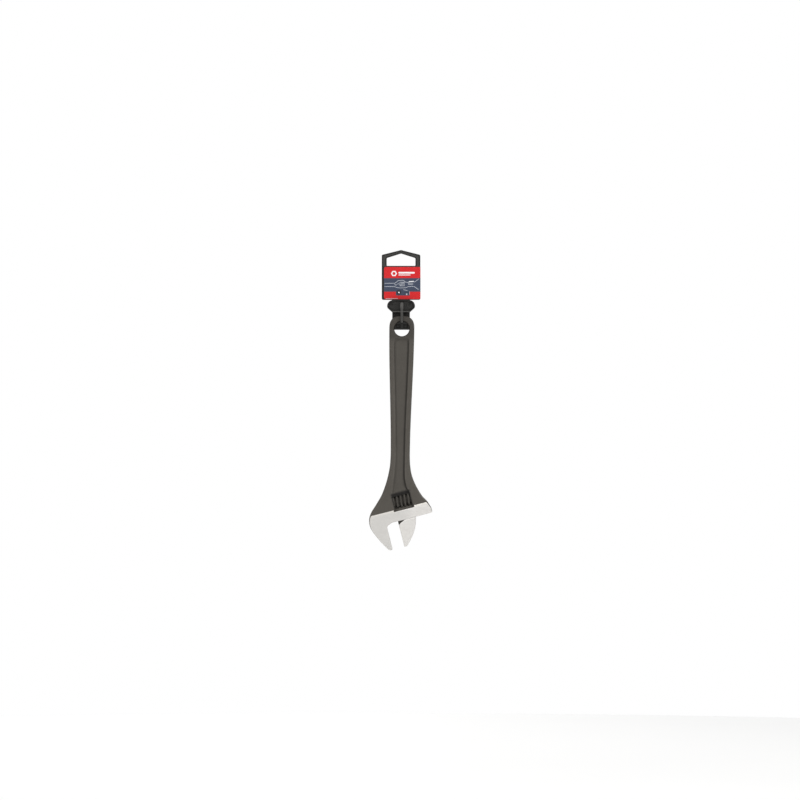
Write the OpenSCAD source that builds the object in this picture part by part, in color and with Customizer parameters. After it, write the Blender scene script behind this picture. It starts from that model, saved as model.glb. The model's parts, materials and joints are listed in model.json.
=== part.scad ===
// Adjustable wrench, 12 inch size, hanging from its moulded display hanger.
//
// The row frame has +Z up along the handle, +X to the right and +Y towards the back. Its origin is
// the axis of the display hook, under the apex of the hanger's window.
//
// Two frames are used below. The wrench frame has its origin where the handle's centre line meets
// the slide surface of the head. The head frame is the wrench frame turned by jaw_angle about Y:
// u runs along the slide surface, away from the fixed jaw, and w runs up from it, away from the
// jaws. The jaws lie at negative w.

/* [Wrench] */
// Angle of the slide surface to the square across the handle
jaw_angle = 15; // [14:0.5:16]
// Gap between the jaw faces at rest
opening = 15.6; // [12:0.2:18]
// Height of the handle end above the slide surface
handle_top = 267; // [250:1:285]
// Width of the handle beside the hanging hole
handle_w = 32.6; // [31:0.2:34]
// Width of the handle at its neck, above the head
neck_w = 25; // [23:0.5:27]
// Thickness of the handle over its rails
handle_t = 10; // [9:0.5:11]
// Width of each raised rail of the handle
rail_w = 6.2; // [5:0.1:7]
// Depth of the handle's sunk panel, on each side
panel_depth = 2; // [1:0.1:2.5]
// Diameter of the hanging hole
hang_hole_d = 19.6; // [19:0.1:21]

/* [Head] */
// Thickness of the head
head_t = 17; // [16:0.5:18]
// Thickness of both jaws at their tips
tip_t = 11.6; // [10:0.2:13]
// Distance from the slide surface to the jaw tips
jaw_depth = 34.4; // [33:0.2:36]
// Distance of the fixed jaw's face from the handle's centre line, along the slide surface
fixed_face = 17.6; // [17:0.1:18]
// Length of the worm window along the slide surface
window_l = 23; // [22.8:0.1:23.6]
// Height of the lower edge of the worm window above the slide surface
window_low = 12.8; // [12.6:0.1:13]
// Height of the worm window
window_h = 19.4; // [19:0.1:20]

/* [Screw] */
// Pitch of the worm and of the rack
pitch = 5; // [4.5:0.1:5.2]
// Outer diameter of the worm
worm_d = 18.4; // [18:0.1:18.5]
// Diameter of the jaw's round shank
shank_d = 11; // [10.6:0.1:11.2]
// Length of the shank
shank_l = 30; // [28:0.5:32]
// Diameter of the worm's pin
pin_d = 5; // [4:0.1:5.4]
// Radial clearance of sliding and turning fits
fit = 0.06; // [0.03:0.01:0.1]

/* [Hanger] */
// Angle to plumb at which the wrench hangs
hang_lean = 0.73; // [0:0.01:1]
// Width of the hanger's panel
panel_w = 50.2; // [46:0.2:56]
// Height of the panel's top above the hanging hole
panel_top = 102.5; // [98:0.5:110]
// Height of the panel's lower edge above the hanging hole
panel_low = 37.6; // [37.2:0.1:40]
// Thickness of the panel
panel_t = 2; // [1.6:0.1:3]
// Thickness of the label
label_t = 0.2; // [0.15:0.05:0.3]

/* [Hidden] */
$fn = 72;

// the handle
hole_z = handle_top - 16.8;
neck_z = 85;
curve_steps = 5;
panel_end_z = hole_z - hang_hole_d / 2 - 1.7;

// the head, in the head frame
head_end = 44.5;
shank_w = 12.9;
slot_w = 7.3;
bore_r = shank_d / 2 + fit;
ground_w = 15.2;
window_u = -1.5;
window_top_w = 36.2;
bore_start = -fixed_face - 0.6;
slot_low = -5.6;

// the worm and its pin
worm_w = 25.2;
worm_gap = 0.3;
worm_l = window_l - 2 * worm_gap;
worm_u = window_u + worm_gap;
thread_depth = 2.5;
worm_root_r = worm_d / 2 - thread_depth;
thread_tip = 2.1;
thread_root = 3;
thread_u = 2.4;
worm_steps = 24;
spring_r = 3.8;
spring_wire_r = 0.4;
spring_pocket = 6;
pin_head_r = 3.2;
pin_head_u = 29;
pin_end_u = 34.4;
pin_u = -9.5;
pin_chamfer = 0.6;
pin_slot_w = 1.1;

// the sliding jaw: its face is at u = face_u at rest
face_u = opening - fixed_face;
web_t = slot_w - 0.3;
slide_gap = 0.1;
rack_top_w = shank_w + 5.2;
rack_root_w = shank_w + 2.9;
rack_lead = atan(pitch / (PI * (worm_d - thread_depth)));
web_root_l = 22;
web_root = 0.5;
corner_w = -5.2;

// the hanger, measured from its own middle line at the height of the hanging hole, which is
// hole_x to the right of that line
hook_drop = 94;
hole_x = 1;
grip_t = 14.6;
grip_gap = 0.5;
plug_gap = 0.3;
plug_flat = -1.3;
grip_low = 21.5;
lobe_w = 35.4;
hanger_neck_w = 23;

function lerp(a, b, t) = a + (b - a) * t;
function smooth(t) = t * t * (3 - 2 * t);
function unit(v) = v / norm(v);
// a point of the head frame in the wrench frame
function from_head(u, w) = [u * cos(jaw_angle) - w * sin(jaw_angle),
    u * sin(jaw_angle) + w * cos(jaw_angle)];
// a smooth curve through points, with curve_steps stretches between each two
function spline_at(a, b, c, d, t) =
    (2 * b + (c - a) * t + (2 * a - 5 * b + 4 * c - d) * t * t
        + (3 * b - a - 3 * c + d) * t * t * t) / 2;
function spline(p, steps = curve_steps) = let (last = len(p) - 1) [
    for (i = [0 : last - 1], k = [0 : steps - 1])
        spline_at(p[max(i - 1, 0)], p[i], p[i + 1], p[min(i + 2, last)], k / steps),
    p[last]];
// an outline with each corner rounded to its own radius, p = [[x, y, radius], ...]
function xy(p) = [p[0], p[1]];
function corner(p, a, b, r, steps) =
    r == 0 ? [p] :
    let (da = unit(a - p), db = unit(b - p), half = acos(da * db) / 2,
        c = p + unit(da + db) * r / sin(half), ta = p + da * r / tan(half) - c,
        tb = p + db * r / tan(half) - c, from = atan2(ta[1], ta[0]),
        turn = atan2(ta[0] * tb[1] - ta[1] * tb[0], ta * tb))
    [for (k = [0 : steps]) c + r * [cos(from + turn * k / steps), sin(from + turn * k / steps)]];
function rounded(p, steps = 4) = let (n = len(p)) [
    for (i = [0 : n - 1])
        each corner(xy(p[i]), xy(p[(i + n - 1) % n]), xy(p[(i + 1) % n]), p[i][2], steps)];
function mirrored(p) = [for (i = [len(p) - 1 : -1 : 0]) [-p[i][0], p[i][1]]];

// half the handle's width at height z, from the neck to the hanging hole
function half_width(z) = lerp(neck_w, handle_w, smooth((z - neck_z) / (hole_z - neck_z))) / 2;
handle_edge = [for (k = [0 : 10]) let (z = lerp(neck_z, hole_z, k / 10)) [half_width(z), z]];
// the rounded end of the handle, a superellipse round the hanging hole
handle_end = [for (a = [7.5 : 7.5 : 172.5]) [
    handle_w / 2 * sign(cos(a)) * pow(abs(cos(a)), 0.77),
    hole_z + (handle_top - hole_z) * pow(sin(a), 0.77)]];

right_flank = spline([from_head(head_end, 2), from_head(head_end, 6), [38.8, 21.6], [35.3, 26.7],
    [29, 33.2], [21, 46.1], [15.6, 59.1], [13.2, 72], handle_edge[0]]);
left_flank = spline([[-12.5, neck_z], [-13.2, 72], [-15.5, 58.7], [-19, 45.6], [-23.9, 32.5],
    [-30.5, 20.7], [-37.1, 9.7], [-39.4, 0], [-37, -10.7], [-29.6, -21.1], [-20.9, -31],
    from_head(-fixed_face - 5, -jaw_depth + 1)]);
jaw_and_slide = [
    from_head(-fixed_face - 3.6, -jaw_depth), from_head(-fixed_face - 0.8, -jaw_depth),
    from_head(-fixed_face, -jaw_depth + 1), from_head(-fixed_face, -5.2),
    from_head(-fixed_face + 0.5, -3.5), from_head(-fixed_face + 4.1, -1.7),
    from_head(-fixed_face + 8.1, 0), from_head(head_end - 1.5, 0),
    from_head(head_end - 0.4, 0.6)];
handle_sides = [for (k = [1 : 10]) handle_edge[k]];
body_outline = concat(right_flank, handle_sides, handle_end, mirrored(handle_sides), left_flank,
    jaw_and_slide);

// the sunk panel between the handle's rails, from below the hanging hole to the worm window
panel_side = [for (k = [0 : 8])
    let (z = lerp(neck_z, panel_end_z - 8, k / 8)) [half_width(z) - rail_w, z]];
panel_outline = concat(
    [from_head(window_u, window_low + window_h - 2),
        from_head(window_u + window_l, window_low + window_h - 2)],
    spline([from_head(window_u + window_l, window_top_w), [8.8, 45.5], [6.7, 56], [6.2, 68],
        panel_side[0]], 3),
    [for (k = [1 : 8]) panel_side[k]],
    [for (a = [15 : 15 : 165]) [panel_side[8][0] * cos(a), panel_side[8][1] + 8 * sin(a)]],
    mirrored(panel_side),
    [[-7.3, 68], [-8.8, 52], from_head(window_u, window_top_w)]);

// half the body's thickness against height: handle, swell and head, and the panel's floor
body_side = concat(
    [[0, handle_top + 5], [handle_t / 2, handle_top + 5]],
    [for (k = [0 : 8]) [lerp(handle_t, head_t, smooth(k / 8)) / 2, lerp(98, 46, k / 8)]],
    [[head_t / 2, -60], [0, -60]]);
floor_side = [[handle_t / 2 - panel_depth, handle_top], [handle_t / 2 - panel_depth, 96],
    [head_t / 2 - 2.4, 50], [head_t / 2 - 1.6, 20], [head_t, 20], [head_t, handle_top]];

// a flat outline in X and Z, drawn out by h in Y about the middle
module slab(h) {
    rotate([90, 0, 0]) linear_extrude(height = h, center = true) children();
}
// an outline in Y and Z, drawn out by w in X about the middle
module profile(w) {
    rotate([90, 0, 90]) linear_extrude(height = w, center = true) children();
}
module both_sides() {
    children();
    mirror([0, 1, 0]) children();
}
// from the row frame to the wrench frame and on to the head frame
module in_wrench() {
    translate([hole_x, 0, -hook_drop]) rotate([0, hang_lean, 0]) translate([0, 0, -hole_z])
        children();
}
module in_head() { in_wrench() rotate([0, -jaw_angle, 0]) children(); }
module in_hanger() { translate([0, 0, -hook_drop]) children(); }

// a round bar along u, from u = from to u = to
module bar(r, from, to, w, r2 = 0) {
    translate([from, 0, w]) rotate([0, 90, 0])
        cylinder(r1 = r, r2 = r2 == 0 ? r : r2, h = to - from);
}

// what grinding leaves of the jaws: full thickness down to ground_w, then tapering to the tips
module ground_faces() {
    fall = (head_t - tip_t) / 2 / (ground_w + jaw_depth);
    low = -jaw_depth - 12;
    edge = [[head_t / 2, handle_top + 40], [head_t / 2, ground_w],
        [head_t / 2 - fall * (ground_w - low), low]];
    profile(400) polygon(concat(edge, mirrored(edge)));
}

module body_blank() {
    intersection() {
        slab(head_t + 4) polygon(body_outline);
        both_sides() profile(200) polygon(body_side);
        rotate([0, -jaw_angle, 0]) ground_faces();
    }
}

// bore and slot for the shank, worm window and pin hole, in the head frame; the upper wall of the
// window is hollowed to the worm's curve
module head_cuts() {
    bar(bore_r, bore_start, head_end + 10, shank_w);
    translate([bore_start, -slot_w / 2, slot_low])
        cube([head_end + 10 - bore_start, slot_w, shank_w - slot_low]);
    translate([window_u, -head_t, window_low]) cube([window_l, 2 * head_t, window_h]);
    bar(worm_d / 2 + worm_gap, window_u, window_u + window_l, worm_w);
    bar(pin_d / 2 + fit, pin_u - 0.3, pin_head_u + 1, worm_w);
    bar(pin_head_r + fit, pin_head_u, 50, worm_w);
}

module wrench_body() {
    color([0.29, 0.28, 0.25]) in_wrench() difference() {
        body_blank();
        both_sides() intersection() {
            slab(2 * head_t) polygon(panel_outline);
            profile(60) polygon(floor_side);
        }
        translate([0, 0, hole_z]) rotate([90, 0, 0])
            cylinder(d = hang_hole_d, h = 2 * head_t, center = true);
        rotate([0, -jaw_angle, 0]) head_cuts();
    }
}

// the outline of the sliding jaw, from its face; the corner by the slide surface is cut away
jaw_back = spline([[24.2, 0], [22.9, -5.2], [20.4, -12.2], [14.7, -21.9], [7.2, -30.7],
    [4.2, -33.8]], 4);
jaw_outline = concat([[0, corner_w], [1.1, -4.3], [3.3, -2.8], [9.3, 0]], jaw_back,
    [[3, -jaw_depth], [0.8, -jaw_depth], [0, -jaw_depth + 1]]);

// one rack tooth gap, cut across the top of the shank and leaning by the worm's lead angle
module rack_gap(at) {
    tip = pitch - 1.5;
    root = pitch - 2.4;
    translate([at, 0, 0]) rotate([0, 0, -rack_lead]) slab(30)
        polygon([[-root / 2, rack_root_w], [root / 2, rack_root_w],
            [tip / 2 + 0.4, rack_top_w + 1.1], [-tip / 2 - 0.4, rack_top_w + 1.1]]);
}

module sliding_jaw() {
    // each gap of the rack takes a turn of the worm's thread
    first_gap = thread_u - pitch * ceil((thread_u - face_u) / pitch);
    color([0.78, 0.77, 0.75]) in_head() difference() {
        union() {
            intersection() {
                translate([face_u, 0, -slide_gap]) slab(head_t + 4) polygon(jaw_outline);
                ground_faces();
            }
            translate([face_u, -web_t / 2, corner_w]) cube([9, web_t, shank_w - corner_w]);
            translate([face_u, -web_t / 2, -slide_gap - web_root])
                cube([web_root_l, web_t, shank_w]);
            translate([face_u, -web_t / 2, -slide_gap / 2])
                cube([shank_l, web_t, shank_w]);
            bar(shank_d / 2, face_u, face_u + shank_l - 1, shank_w);
            bar(shank_d / 2, face_u + shank_l - 1, face_u + shank_l, shank_w, shank_d / 2 - 1);
        }
        translate([face_u - 1, -shank_d, rack_top_w]) cube([shank_l + 2, 2 * shank_d, 9]);
        for (at = [first_gap : pitch : face_u + shank_l + pitch])
            rack_gap(at);
    }
}

// points of a ring of a thread or a wire, and the faces that join such rings into a solid
function ring(shape, r, turn, rise) = [for (p = shape)
    [(r + p[0]) * cos(turn), (r + p[0]) * sin(turn), rise + p[1]]];
function sweep_faces(rings, n) = concat(
    [[for (k = [n - 1 : -1 : 0]) k]],
    [for (i = [0 : rings - 2], k = [0 : n - 1])
        [i * n + k, i * n + (k + 1) % n, (i + 1) * n + (k + 1) % n]],
    [for (i = [0 : rings - 2], k = [0 : n - 1])
        [i * n + k, (i + 1) * n + (k + 1) % n, (i + 1) * n + k]],
    [[for (k = [0 : n - 1]) (rings - 1) * n + k]]);
module helix(shape, r, lead, from, to, steps) {
    count = ceil((to - from) * steps);
    points = [for (i = [0 : count]) each
        ring(shape, r, 360 * lerp(from, to, i / count), lead * lerp(from, to, i / count))];
    polyhedron(points = points, faces = sweep_faces(count + 1, len(shape)), convexity = 10);
}

// the worm's thread as a section [outwards, along], sunk a little into its core
thread = [[-0.6, -thread_root / 2 - 0.1], [thread_depth, -thread_tip / 2],
    [thread_depth, thread_tip / 2], [-0.6, thread_root / 2 + 0.1]];

module worm_knurl() {
    color([0.32, 0.32, 0.3]) in_head() translate([worm_u, 0, worm_w]) rotate([0, 90, 0])
    difference() {
        union() {
            cylinder(r = worm_root_r, h = worm_l);
            intersection() {
                translate([0, 0, thread_u - worm_u])
                    helix(thread, worm_root_r, pitch, -1.2, worm_l / pitch, worm_steps);
                cylinder(r = worm_d, h = worm_l);
            }
        }
        translate([0, 0, -1]) cylinder(d = pin_d + 2 * fit, h = worm_l + 2);
        translate([0, 0, -1]) cylinder(r = spring_r + 0.35, h = spring_pocket + 1);
    }
}

module worm_pin() {
    color([0.4, 0.39, 0.37]) in_head() difference() {
        union() {
            bar(pin_d / 2 - pin_chamfer, pin_u, pin_u + pin_chamfer, worm_w, pin_d / 2);
            bar(pin_d / 2, pin_u + pin_chamfer, pin_head_u + 0.05, worm_w);
            bar(pin_head_r, pin_head_u + 0.05, pin_end_u, worm_w);
        }
        translate([pin_end_u - 1.6, -pin_slot_w / 2, worm_w - 5]) cube([2, pin_slot_w, 10]);
    }
}

module worm_spring() {
    wire = [for (a = [0 : 45 : 315]) spring_wire_r * [cos(a), sin(a)]];
    turns = 4;
    free_l = spring_pocket + worm_gap - 0.1 - 2 * spring_wire_r;
    color([0.6, 0.6, 0.58]) in_head() translate([window_u + spring_wire_r, 0, worm_w])
        rotate([0, 90, 0])
            helix(wire, spring_r - spring_wire_r, free_l / turns, 0, turns, 16);
}

// the hanger: a flat panel with a house-shaped window, lobes, and a neck behind the handle end
side_x = panel_w / 2;
eave_z = panel_top - 6.3;
window_x = side_x - 6.4;
window_low_z = 81.9;
window_eave_z = 92;
window_apex_z = hook_drop + 3.9;
lobe_x = lobe_w / 2 + 0.4;
lobe_low_z = 27.4;
lobe_high_z = 37.2;
tab_x = 10.6;
tab_high_z = panel_low + 0.6;
panel_shape = rounded([[-side_x, panel_low, 2], [side_x, panel_low, 2], [side_x, eave_z, 2],
    [0, panel_top, 3], [-side_x, eave_z, 2]]);
window_shape = rounded([[-window_x, window_low_z, 1], [window_x, window_low_z, 1],
    [window_x, window_eave_z, 1.5], [0, window_apex_z, 2], [-window_x, window_eave_z, 1.5]]);
lobes_shape = rounded([[-hanger_neck_w / 2, grip_low, 0.6], [hanger_neck_w / 2, grip_low, 0.6],
    [lobe_x, lobe_low_z, 4], [lobe_x, lobe_high_z, 7.5], [tab_x, lobe_high_z, 1.5],
    [tab_x, tab_high_z, 0], [-tab_x, tab_high_z, 0], [-tab_x, lobe_high_z, 1.5],
    [-lobe_x, lobe_high_z, 7.5], [-lobe_x, lobe_low_z, 4]]);
// distance of the hanger's back and front from the middle plane, and of the faces by the handle
grip_in = handle_t / 2 + grip_gap;
grip_out = grip_t / 2;

module hanger_plate() {
    color([0.2, 0.2, 0.19]) in_hanger() {
        difference() {
            union() {
                slab(panel_t) polygon(panel_shape);
                // the back half of the clamp
                intersection() {
                    slab(grip_t) polygon(lobes_shape);
                    translate([-50, 0, 0]) cube([100, 50, 100]);
                }
                // the neck behind the handle end
                translate([-hanger_neck_w / 2, grip_in, plug_flat])
                    cube([hanger_neck_w, grip_out - grip_in, grip_low + 1 - plug_flat]);
                // the plug in the upper half of the hanging hole
                translate([hole_x, 0, 0]) intersection() {
                    rotate([90, 0, 0]) translate([0, 0, -grip_out])
                        cylinder(r = hang_hole_d / 2 - plug_gap, h = grip_out + handle_t / 2);
                    translate([-50, -50, plug_flat]) cube([100, 100, 50]);
                }
            }
            slab(50) polygon(window_shape);
        }
    }
}

module hanger_clip() {
    strap_w = 4.6;
    strap_low = 7.5;
    strap_high = 34.3;
    strap_out = grip_out + 1;
    color([0.19, 0.19, 0.18]) in_hanger() {
        difference() {
            intersection() {
                slab(grip_t) polygon(lobes_shape);
                translate([-50, -50, 0]) cube([100, 50, 100]);
            }
            // room for the panel's front half
            translate([-50, -panel_t / 2, panel_low - 0.01]) cube([100, 50, 20]);
        }
        // the strap over the front of the handle end, into the hanging hole
        translate([hole_x, -(strap_out + grip_in) / 2, 0]) slab(strap_out - grip_in)
            polygon(rounded([[-strap_w / 2, strap_low, 0], [strap_w / 2, strap_low, 0],
                [strap_w / 2, strap_high, 2.2], [-strap_w / 2, strap_high, 2.2]]));
        translate([hole_x - strap_w / 2, -grip_in - 0.01, strap_low])
            cube([strap_w, grip_in - handle_t / 2 + 0.01, 2]);
    }
}

// the label: front sheet, fold round the right edge and back sheet
module wrap_label() {
    low = panel_low + 0.9;
    high = 80.5;
    left = -side_x + 2.9;
    fold_x = side_x + label_t;
    sheet = rounded([[left, low, 2.5], [fold_x, low, 0], [fold_x, high, 0], [left, high, 2.5]]);
    color([0.78, 0.2, 0.22]) in_hanger() difference() {
        slab(panel_t + 2 * label_t) polygon(sheet);
        translate([-50 + side_x, 0, 50]) cube([100, panel_t, 100], center = true);
    }
}

wrench_body();
sliding_jaw();
worm_knurl();
worm_pin();
worm_spring();
hanger_plate();
hanger_clip();
wrap_label();
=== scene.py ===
"""An adjustable wrench that hangs from its moulded display hanger."""
import json
import math

import bmesh
import bpy
import numpy as np
from mathutils import Matrix, Vector
from mathutils.geometry import delaunay_2d_cdt


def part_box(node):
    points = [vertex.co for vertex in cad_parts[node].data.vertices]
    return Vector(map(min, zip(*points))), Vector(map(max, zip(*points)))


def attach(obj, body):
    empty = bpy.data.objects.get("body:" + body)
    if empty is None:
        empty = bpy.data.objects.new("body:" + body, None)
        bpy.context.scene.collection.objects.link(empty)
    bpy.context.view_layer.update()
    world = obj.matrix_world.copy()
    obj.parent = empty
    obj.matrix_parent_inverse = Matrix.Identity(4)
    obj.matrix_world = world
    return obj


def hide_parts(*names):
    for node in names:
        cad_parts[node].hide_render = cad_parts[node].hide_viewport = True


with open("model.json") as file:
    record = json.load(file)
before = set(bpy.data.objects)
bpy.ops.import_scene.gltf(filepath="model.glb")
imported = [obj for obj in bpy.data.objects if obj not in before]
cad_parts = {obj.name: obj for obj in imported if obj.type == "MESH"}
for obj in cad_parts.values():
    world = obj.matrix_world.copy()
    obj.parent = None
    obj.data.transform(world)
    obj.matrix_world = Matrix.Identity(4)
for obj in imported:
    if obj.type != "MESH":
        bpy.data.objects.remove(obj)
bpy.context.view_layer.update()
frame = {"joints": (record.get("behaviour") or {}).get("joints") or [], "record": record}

MM = 0.001

# ---------------------------------------------------------------- where things are, from the frame
joints = {joint["name"]: joint for joint in frame["joints"]}
mounts = {mount["name"]: mount for mount in frame["record"]["mounts"]}
BACK = Vector((0, 1, 0))
PIVOT = Vector(joints["wrench_swing"]["pos_m"])
ALONG = Vector(joints["jaw_slide"]["axis"]).normalized()
AWAY = ALONG.cross(BACK)
WORM_W = 25.2        # millimetres from the slide to the worm's axis
SLIDE_ORIGIN = Vector(joints["worm_spin"]["pos_m"]) - AWAY * WORM_W * MM
UP = (PIVOT - SLIDE_ORIGIN).normalized()
RIGHT = BACK.cross(UP)
HOLE_Z = (PIVOT - SLIDE_ORIGIN).length / MM
JAW_ANGLE = ALONG.angle(RIGHT)


def frame_of(x_axis, z_axis, origin):
    """The matrix from millimetres along x_axis, the back and z_axis to the row's metres."""
    m = Matrix.Identity(4)
    for k, axis in enumerate((x_axis, BACK, z_axis)):
        for row in range(3):
            m[row][k] = axis[row] * MM
    m.translation = origin
    return m


WRENCH = frame_of(RIGHT, UP, SLIDE_ORIGIN)
HEAD = frame_of(ALONG, AWAY, SLIDE_ORIGIN)
HANGER = frame_of(Vector((1, 0, 0)), Vector((0, 0, 1)), Vector((0, 0, PIVOT.z)))


def size_of(node):
    """The size of a CAD node's box, in millimetres."""
    low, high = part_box(node)
    return (high - low) / MM


def u_of(mount):
    """How far along the slide a mount lies, in millimetres."""
    return (Vector(mounts[mount]["pos_m"]) - SLIDE_ORIGIN).dot(ALONG) / MM


# ---------------------------------------------------------------- sizes of the wrench, millimetres
# In the wrench's frame x runs to the right and z up the handle, from where its axis meets the slide.
# In the head's frame u runs along the slide and w from the jaws to the worm. y is to the back in both.

# the handle with its sunk panel and hanging hole
HANDLE_TOP = HOLE_Z + 16.8
HANDLE_HALF = 5.0
HANDLE_W = 32.6
NECK_W = 25.0
NECK_Z = 85.0
RAIL_W = 6.2
PANEL_DEPTH = 2.0
PANEL_TOP_Z = 238.6
CORNER_R = 3.5
HOLE_R = 9.8
# the head and the jaws
HEAD_HALF = size_of("wrench_body").y / 2
HEAD_END = 44.5
FIXED_FACE = -u_of("fixed_jaw_face")
SLIDING_FACE = u_of("sliding_jaw_face")
JAW_DEPTH = 34.4
TIP_HALF = 5.8
TIP_R = 1.3
GRINDING = 0.12
GROUND_W = 15.2
EDGE_R = 2.2
CUT_EDGE = 0.35
STEP_RUN = 0.15
# the window, and the black notch round it
WINDOW_U = (-1.5, 21.5)
WINDOW_W = (12.8, 31.9)
WINDOW_TOP = 36.2
BLACK_U = (-4.0, 23.5)
# the jaw's shank and web, with their bore and slot
SHANK_W = 12.9
SHANK_R = 5.5
SHANK_L = 30.0
BORE_R = 5.56
BORE_START = -FIXED_FACE - 0.6
WEB_HALF = 3.5
WEB_L = 9.0
WEB_LOW = -5.2
SLOT_HALF = 3.65
SLOT_LOW = -5.6
# the worm, its pin and the pocket for its spring
WORM_R = size_of("worm_knurl").y / 2
WORM_GAP = 0.05
PITCH = 5.0
THREAD_U = 2.4
THREAD_DEPTH = 2.25
PIN_R = 2.5
PIN_HEAD_R = 3.2
PIN_U = (-9.5, 34.4)
PIN_HEAD_U = 29.0
SPRING_ROOM_R = 4.15
SPRING_ROOM_L = 6.0
# the play round the pin, and how far a cutter reaches past the metal
FIT = 0.06
PAST = 10.0

# values of the field 'ground': above 0 is ground bright, and the sliding jaw is ground all over
JAW_GROUND = 5.0
NOT_GROUND = -1.0


# ---------------------------------------------------------------- outlines
def from_head(u, w):
    """A point of the head's frame in the wrench's frame."""
    c, s = math.cos(JAW_ANGLE), math.sin(JAW_ANGLE)
    return (u * c - w * s, u * s + w * c)


def to_head(p):
    """Points of the wrench's frame in the head's frame."""
    c, s = math.cos(JAW_ANGLE), math.sin(JAW_ANGLE)
    return np.stack([p[:, 0] * c + p[:, 1] * s, p[:, 1] * c - p[:, 0] * s], 1)


def smooth(t):
    """0 up to t = 0, 1 from t = 1, with an even ease between."""
    t = np.clip(t, 0.0, 1.0)
    return t * t * (3 - 2 * t)


def ridge(d, width):
    """1 where d is 0, fading on both sides over about width."""
    return np.exp(-(d / width) ** 2)


def curve(points, steps=10):
    """A smooth curve through points."""
    p = np.array([points[0], *points, points[-1]], float)
    out = []
    for i in range(1, len(p) - 2):
        a, b, c, d = p[i - 1:i + 3]
        for t in np.arange(steps) / steps:
            out.append((2 * b + (c - a) * t + (2 * a - 5 * b + 4 * c - d) * t ** 2
                        + (3 * b - a - 3 * c + d) * t ** 3) / 2)
    return [tuple(q) for q in out] + [tuple(points[-1])]


def rounded(corners, steps=5):
    """A closed outline of (x, z, radius) corners, each turned on its own arc."""
    out = []
    n = len(corners)
    for i, (x, z, r) in enumerate(corners):
        p = np.array((x, z))
        if r == 0:
            out.append((x, z))
            continue
        a, b = (np.array(corners[k % n][:2]) - p for k in (i - 1, i + 1))
        a, b = a / np.linalg.norm(a), b / np.linalg.norm(b)
        half = math.acos(float(np.clip(a @ b, -1, 1))) / 2
        centre = p + (a + b) / np.linalg.norm(a + b) * r / math.sin(half)
        start, end = p + a * r / math.tan(half) - centre, p + b * r / math.tan(half) - centre
        turn = math.atan2(start[0] * end[1] - start[1] * end[0], float(start @ end))
        first = math.atan2(start[1], start[0])
        for k in range(steps + 1):
            angle = first + turn * k / steps
            out.append((centre[0] + r * math.cos(angle), centre[1] + r * math.sin(angle)))
    return out


def ring(x, z, r, count):
    """A circle of count points, or a polygon."""
    return [(x + r * math.cos(a), z + r * math.sin(a))
            for a in np.arange(count) * 2 * math.pi / count]


def mirrored(points):
    """The same line on the other side of x = 0, in the other direction."""
    return [(-x, z) for x, z in reversed(points)]


def spaced(points, step, closed=True):
    """The same line with points no further apart than step."""
    out = []
    n = len(points)
    for i in range(n if closed else n - 1):
        a, b = np.array(points[i]), np.array(points[(i + 1) % n])
        count = max(1, math.ceil(np.linalg.norm(b - a) / step))
        out += [tuple(a + (b - a) * k / count) for k in range(count)]
    return np.array(out if closed else out + [tuple(points[-1])])


BATCH = 4000         # points measured at a time, to spare memory


def distance(p, line, closed=False):
    """How far each point lies from a line of points."""
    a = np.asarray(line, float)
    b = np.roll(a, -1, 0) if closed else a[1:]
    a = a if closed else a[:-1]
    ab = b - a
    long2 = np.maximum((ab ** 2).sum(1), 1e-12)
    out = np.empty(len(p))
    for k in range(0, len(p), BATCH):
        q = p[k:k + BATCH, None]
        t = np.clip(((q - a) * ab).sum(2) / long2, 0, 1)
        out[k:k + BATCH] = np.sqrt((((a + ab * t[..., None]) - q) ** 2).sum(2).min(1))
    return out


def inside(p, outline):
    """Whether each point lies inside a closed outline."""
    a = np.asarray(outline, float)
    b = np.roll(a, -1, 0)
    out = np.empty(len(p), bool)
    rise = np.where(b[:, 1] == a[:, 1], 1e-12, b[:, 1] - a[:, 1])
    for k in range(0, len(p), BATCH):
        x = p[k:k + BATCH, 0, None]
        z = p[k:k + BATCH, 1, None]
        across = (a[:, 1] > z) != (b[:, 1] > z)
        left = x < a[:, 0] + (z - a[:, 1]) * (b[:, 0] - a[:, 0]) / rise
        out[k:k + BATCH] = (across & left).sum(1) % 2 == 1
    return out


def signed(p, outline):
    """Distance to a closed outline, positive inside it."""
    return distance(p, outline, True) * np.where(inside(p, outline), 1, -1)


def turned_edge(d, r):
    """How far a surface has dropped at distance d from an edge rounded to radius r."""
    e = np.clip(r - d, 0, r)
    return r - np.sqrt(r * r - e * e)


def offset_line(line, by):
    """A closed line moved sideways by a distance, to the left of its direction."""
    p = np.asarray(line, float)
    t = np.roll(p, -1, 0) - np.roll(p, 1, 0)
    t /= np.maximum(np.linalg.norm(t, axis=1, keepdims=True), 1e-9)
    return p + np.stack([-t[:, 1], t[:, 0]], 1) * by


# ---------------------------------------------------------------- meshes
def new_object(name, vertices, faces, at=Matrix.Identity(4)):
    """An object whose mesh is placed by a matrix, so that the object itself stays at the origin."""
    mesh = bpy.data.meshes.new(name)
    m = np.array(at)
    placed = np.asarray(vertices, float) @ m[:3, :3].T + m[:3, 3]
    mesh.from_pydata(placed.tolist(), [], [list(map(int, f)) for f in faces])
    mesh.update()
    made = bpy.data.objects.new(name, mesh)
    bpy.context.scene.collection.objects.link(made)
    return made


def within(p, loops, margin):
    """Whether points lie inside the first loop and outside the others, by a margin."""
    keep = signed(p, loops[0]) > margin
    for hole in loops[1:]:
        keep &= signed(p, hole) < -margin
    return keep


def runs(line, keep):
    """The unbroken stretches of a line where keep is true."""
    out, part = [], []
    for p, k in zip(line, keep):
        if k:
            part.append(p)
        elif part:
            out.append(part)
            part = []
    return [r for r in out + [part] if len(r) > 1]


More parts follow.
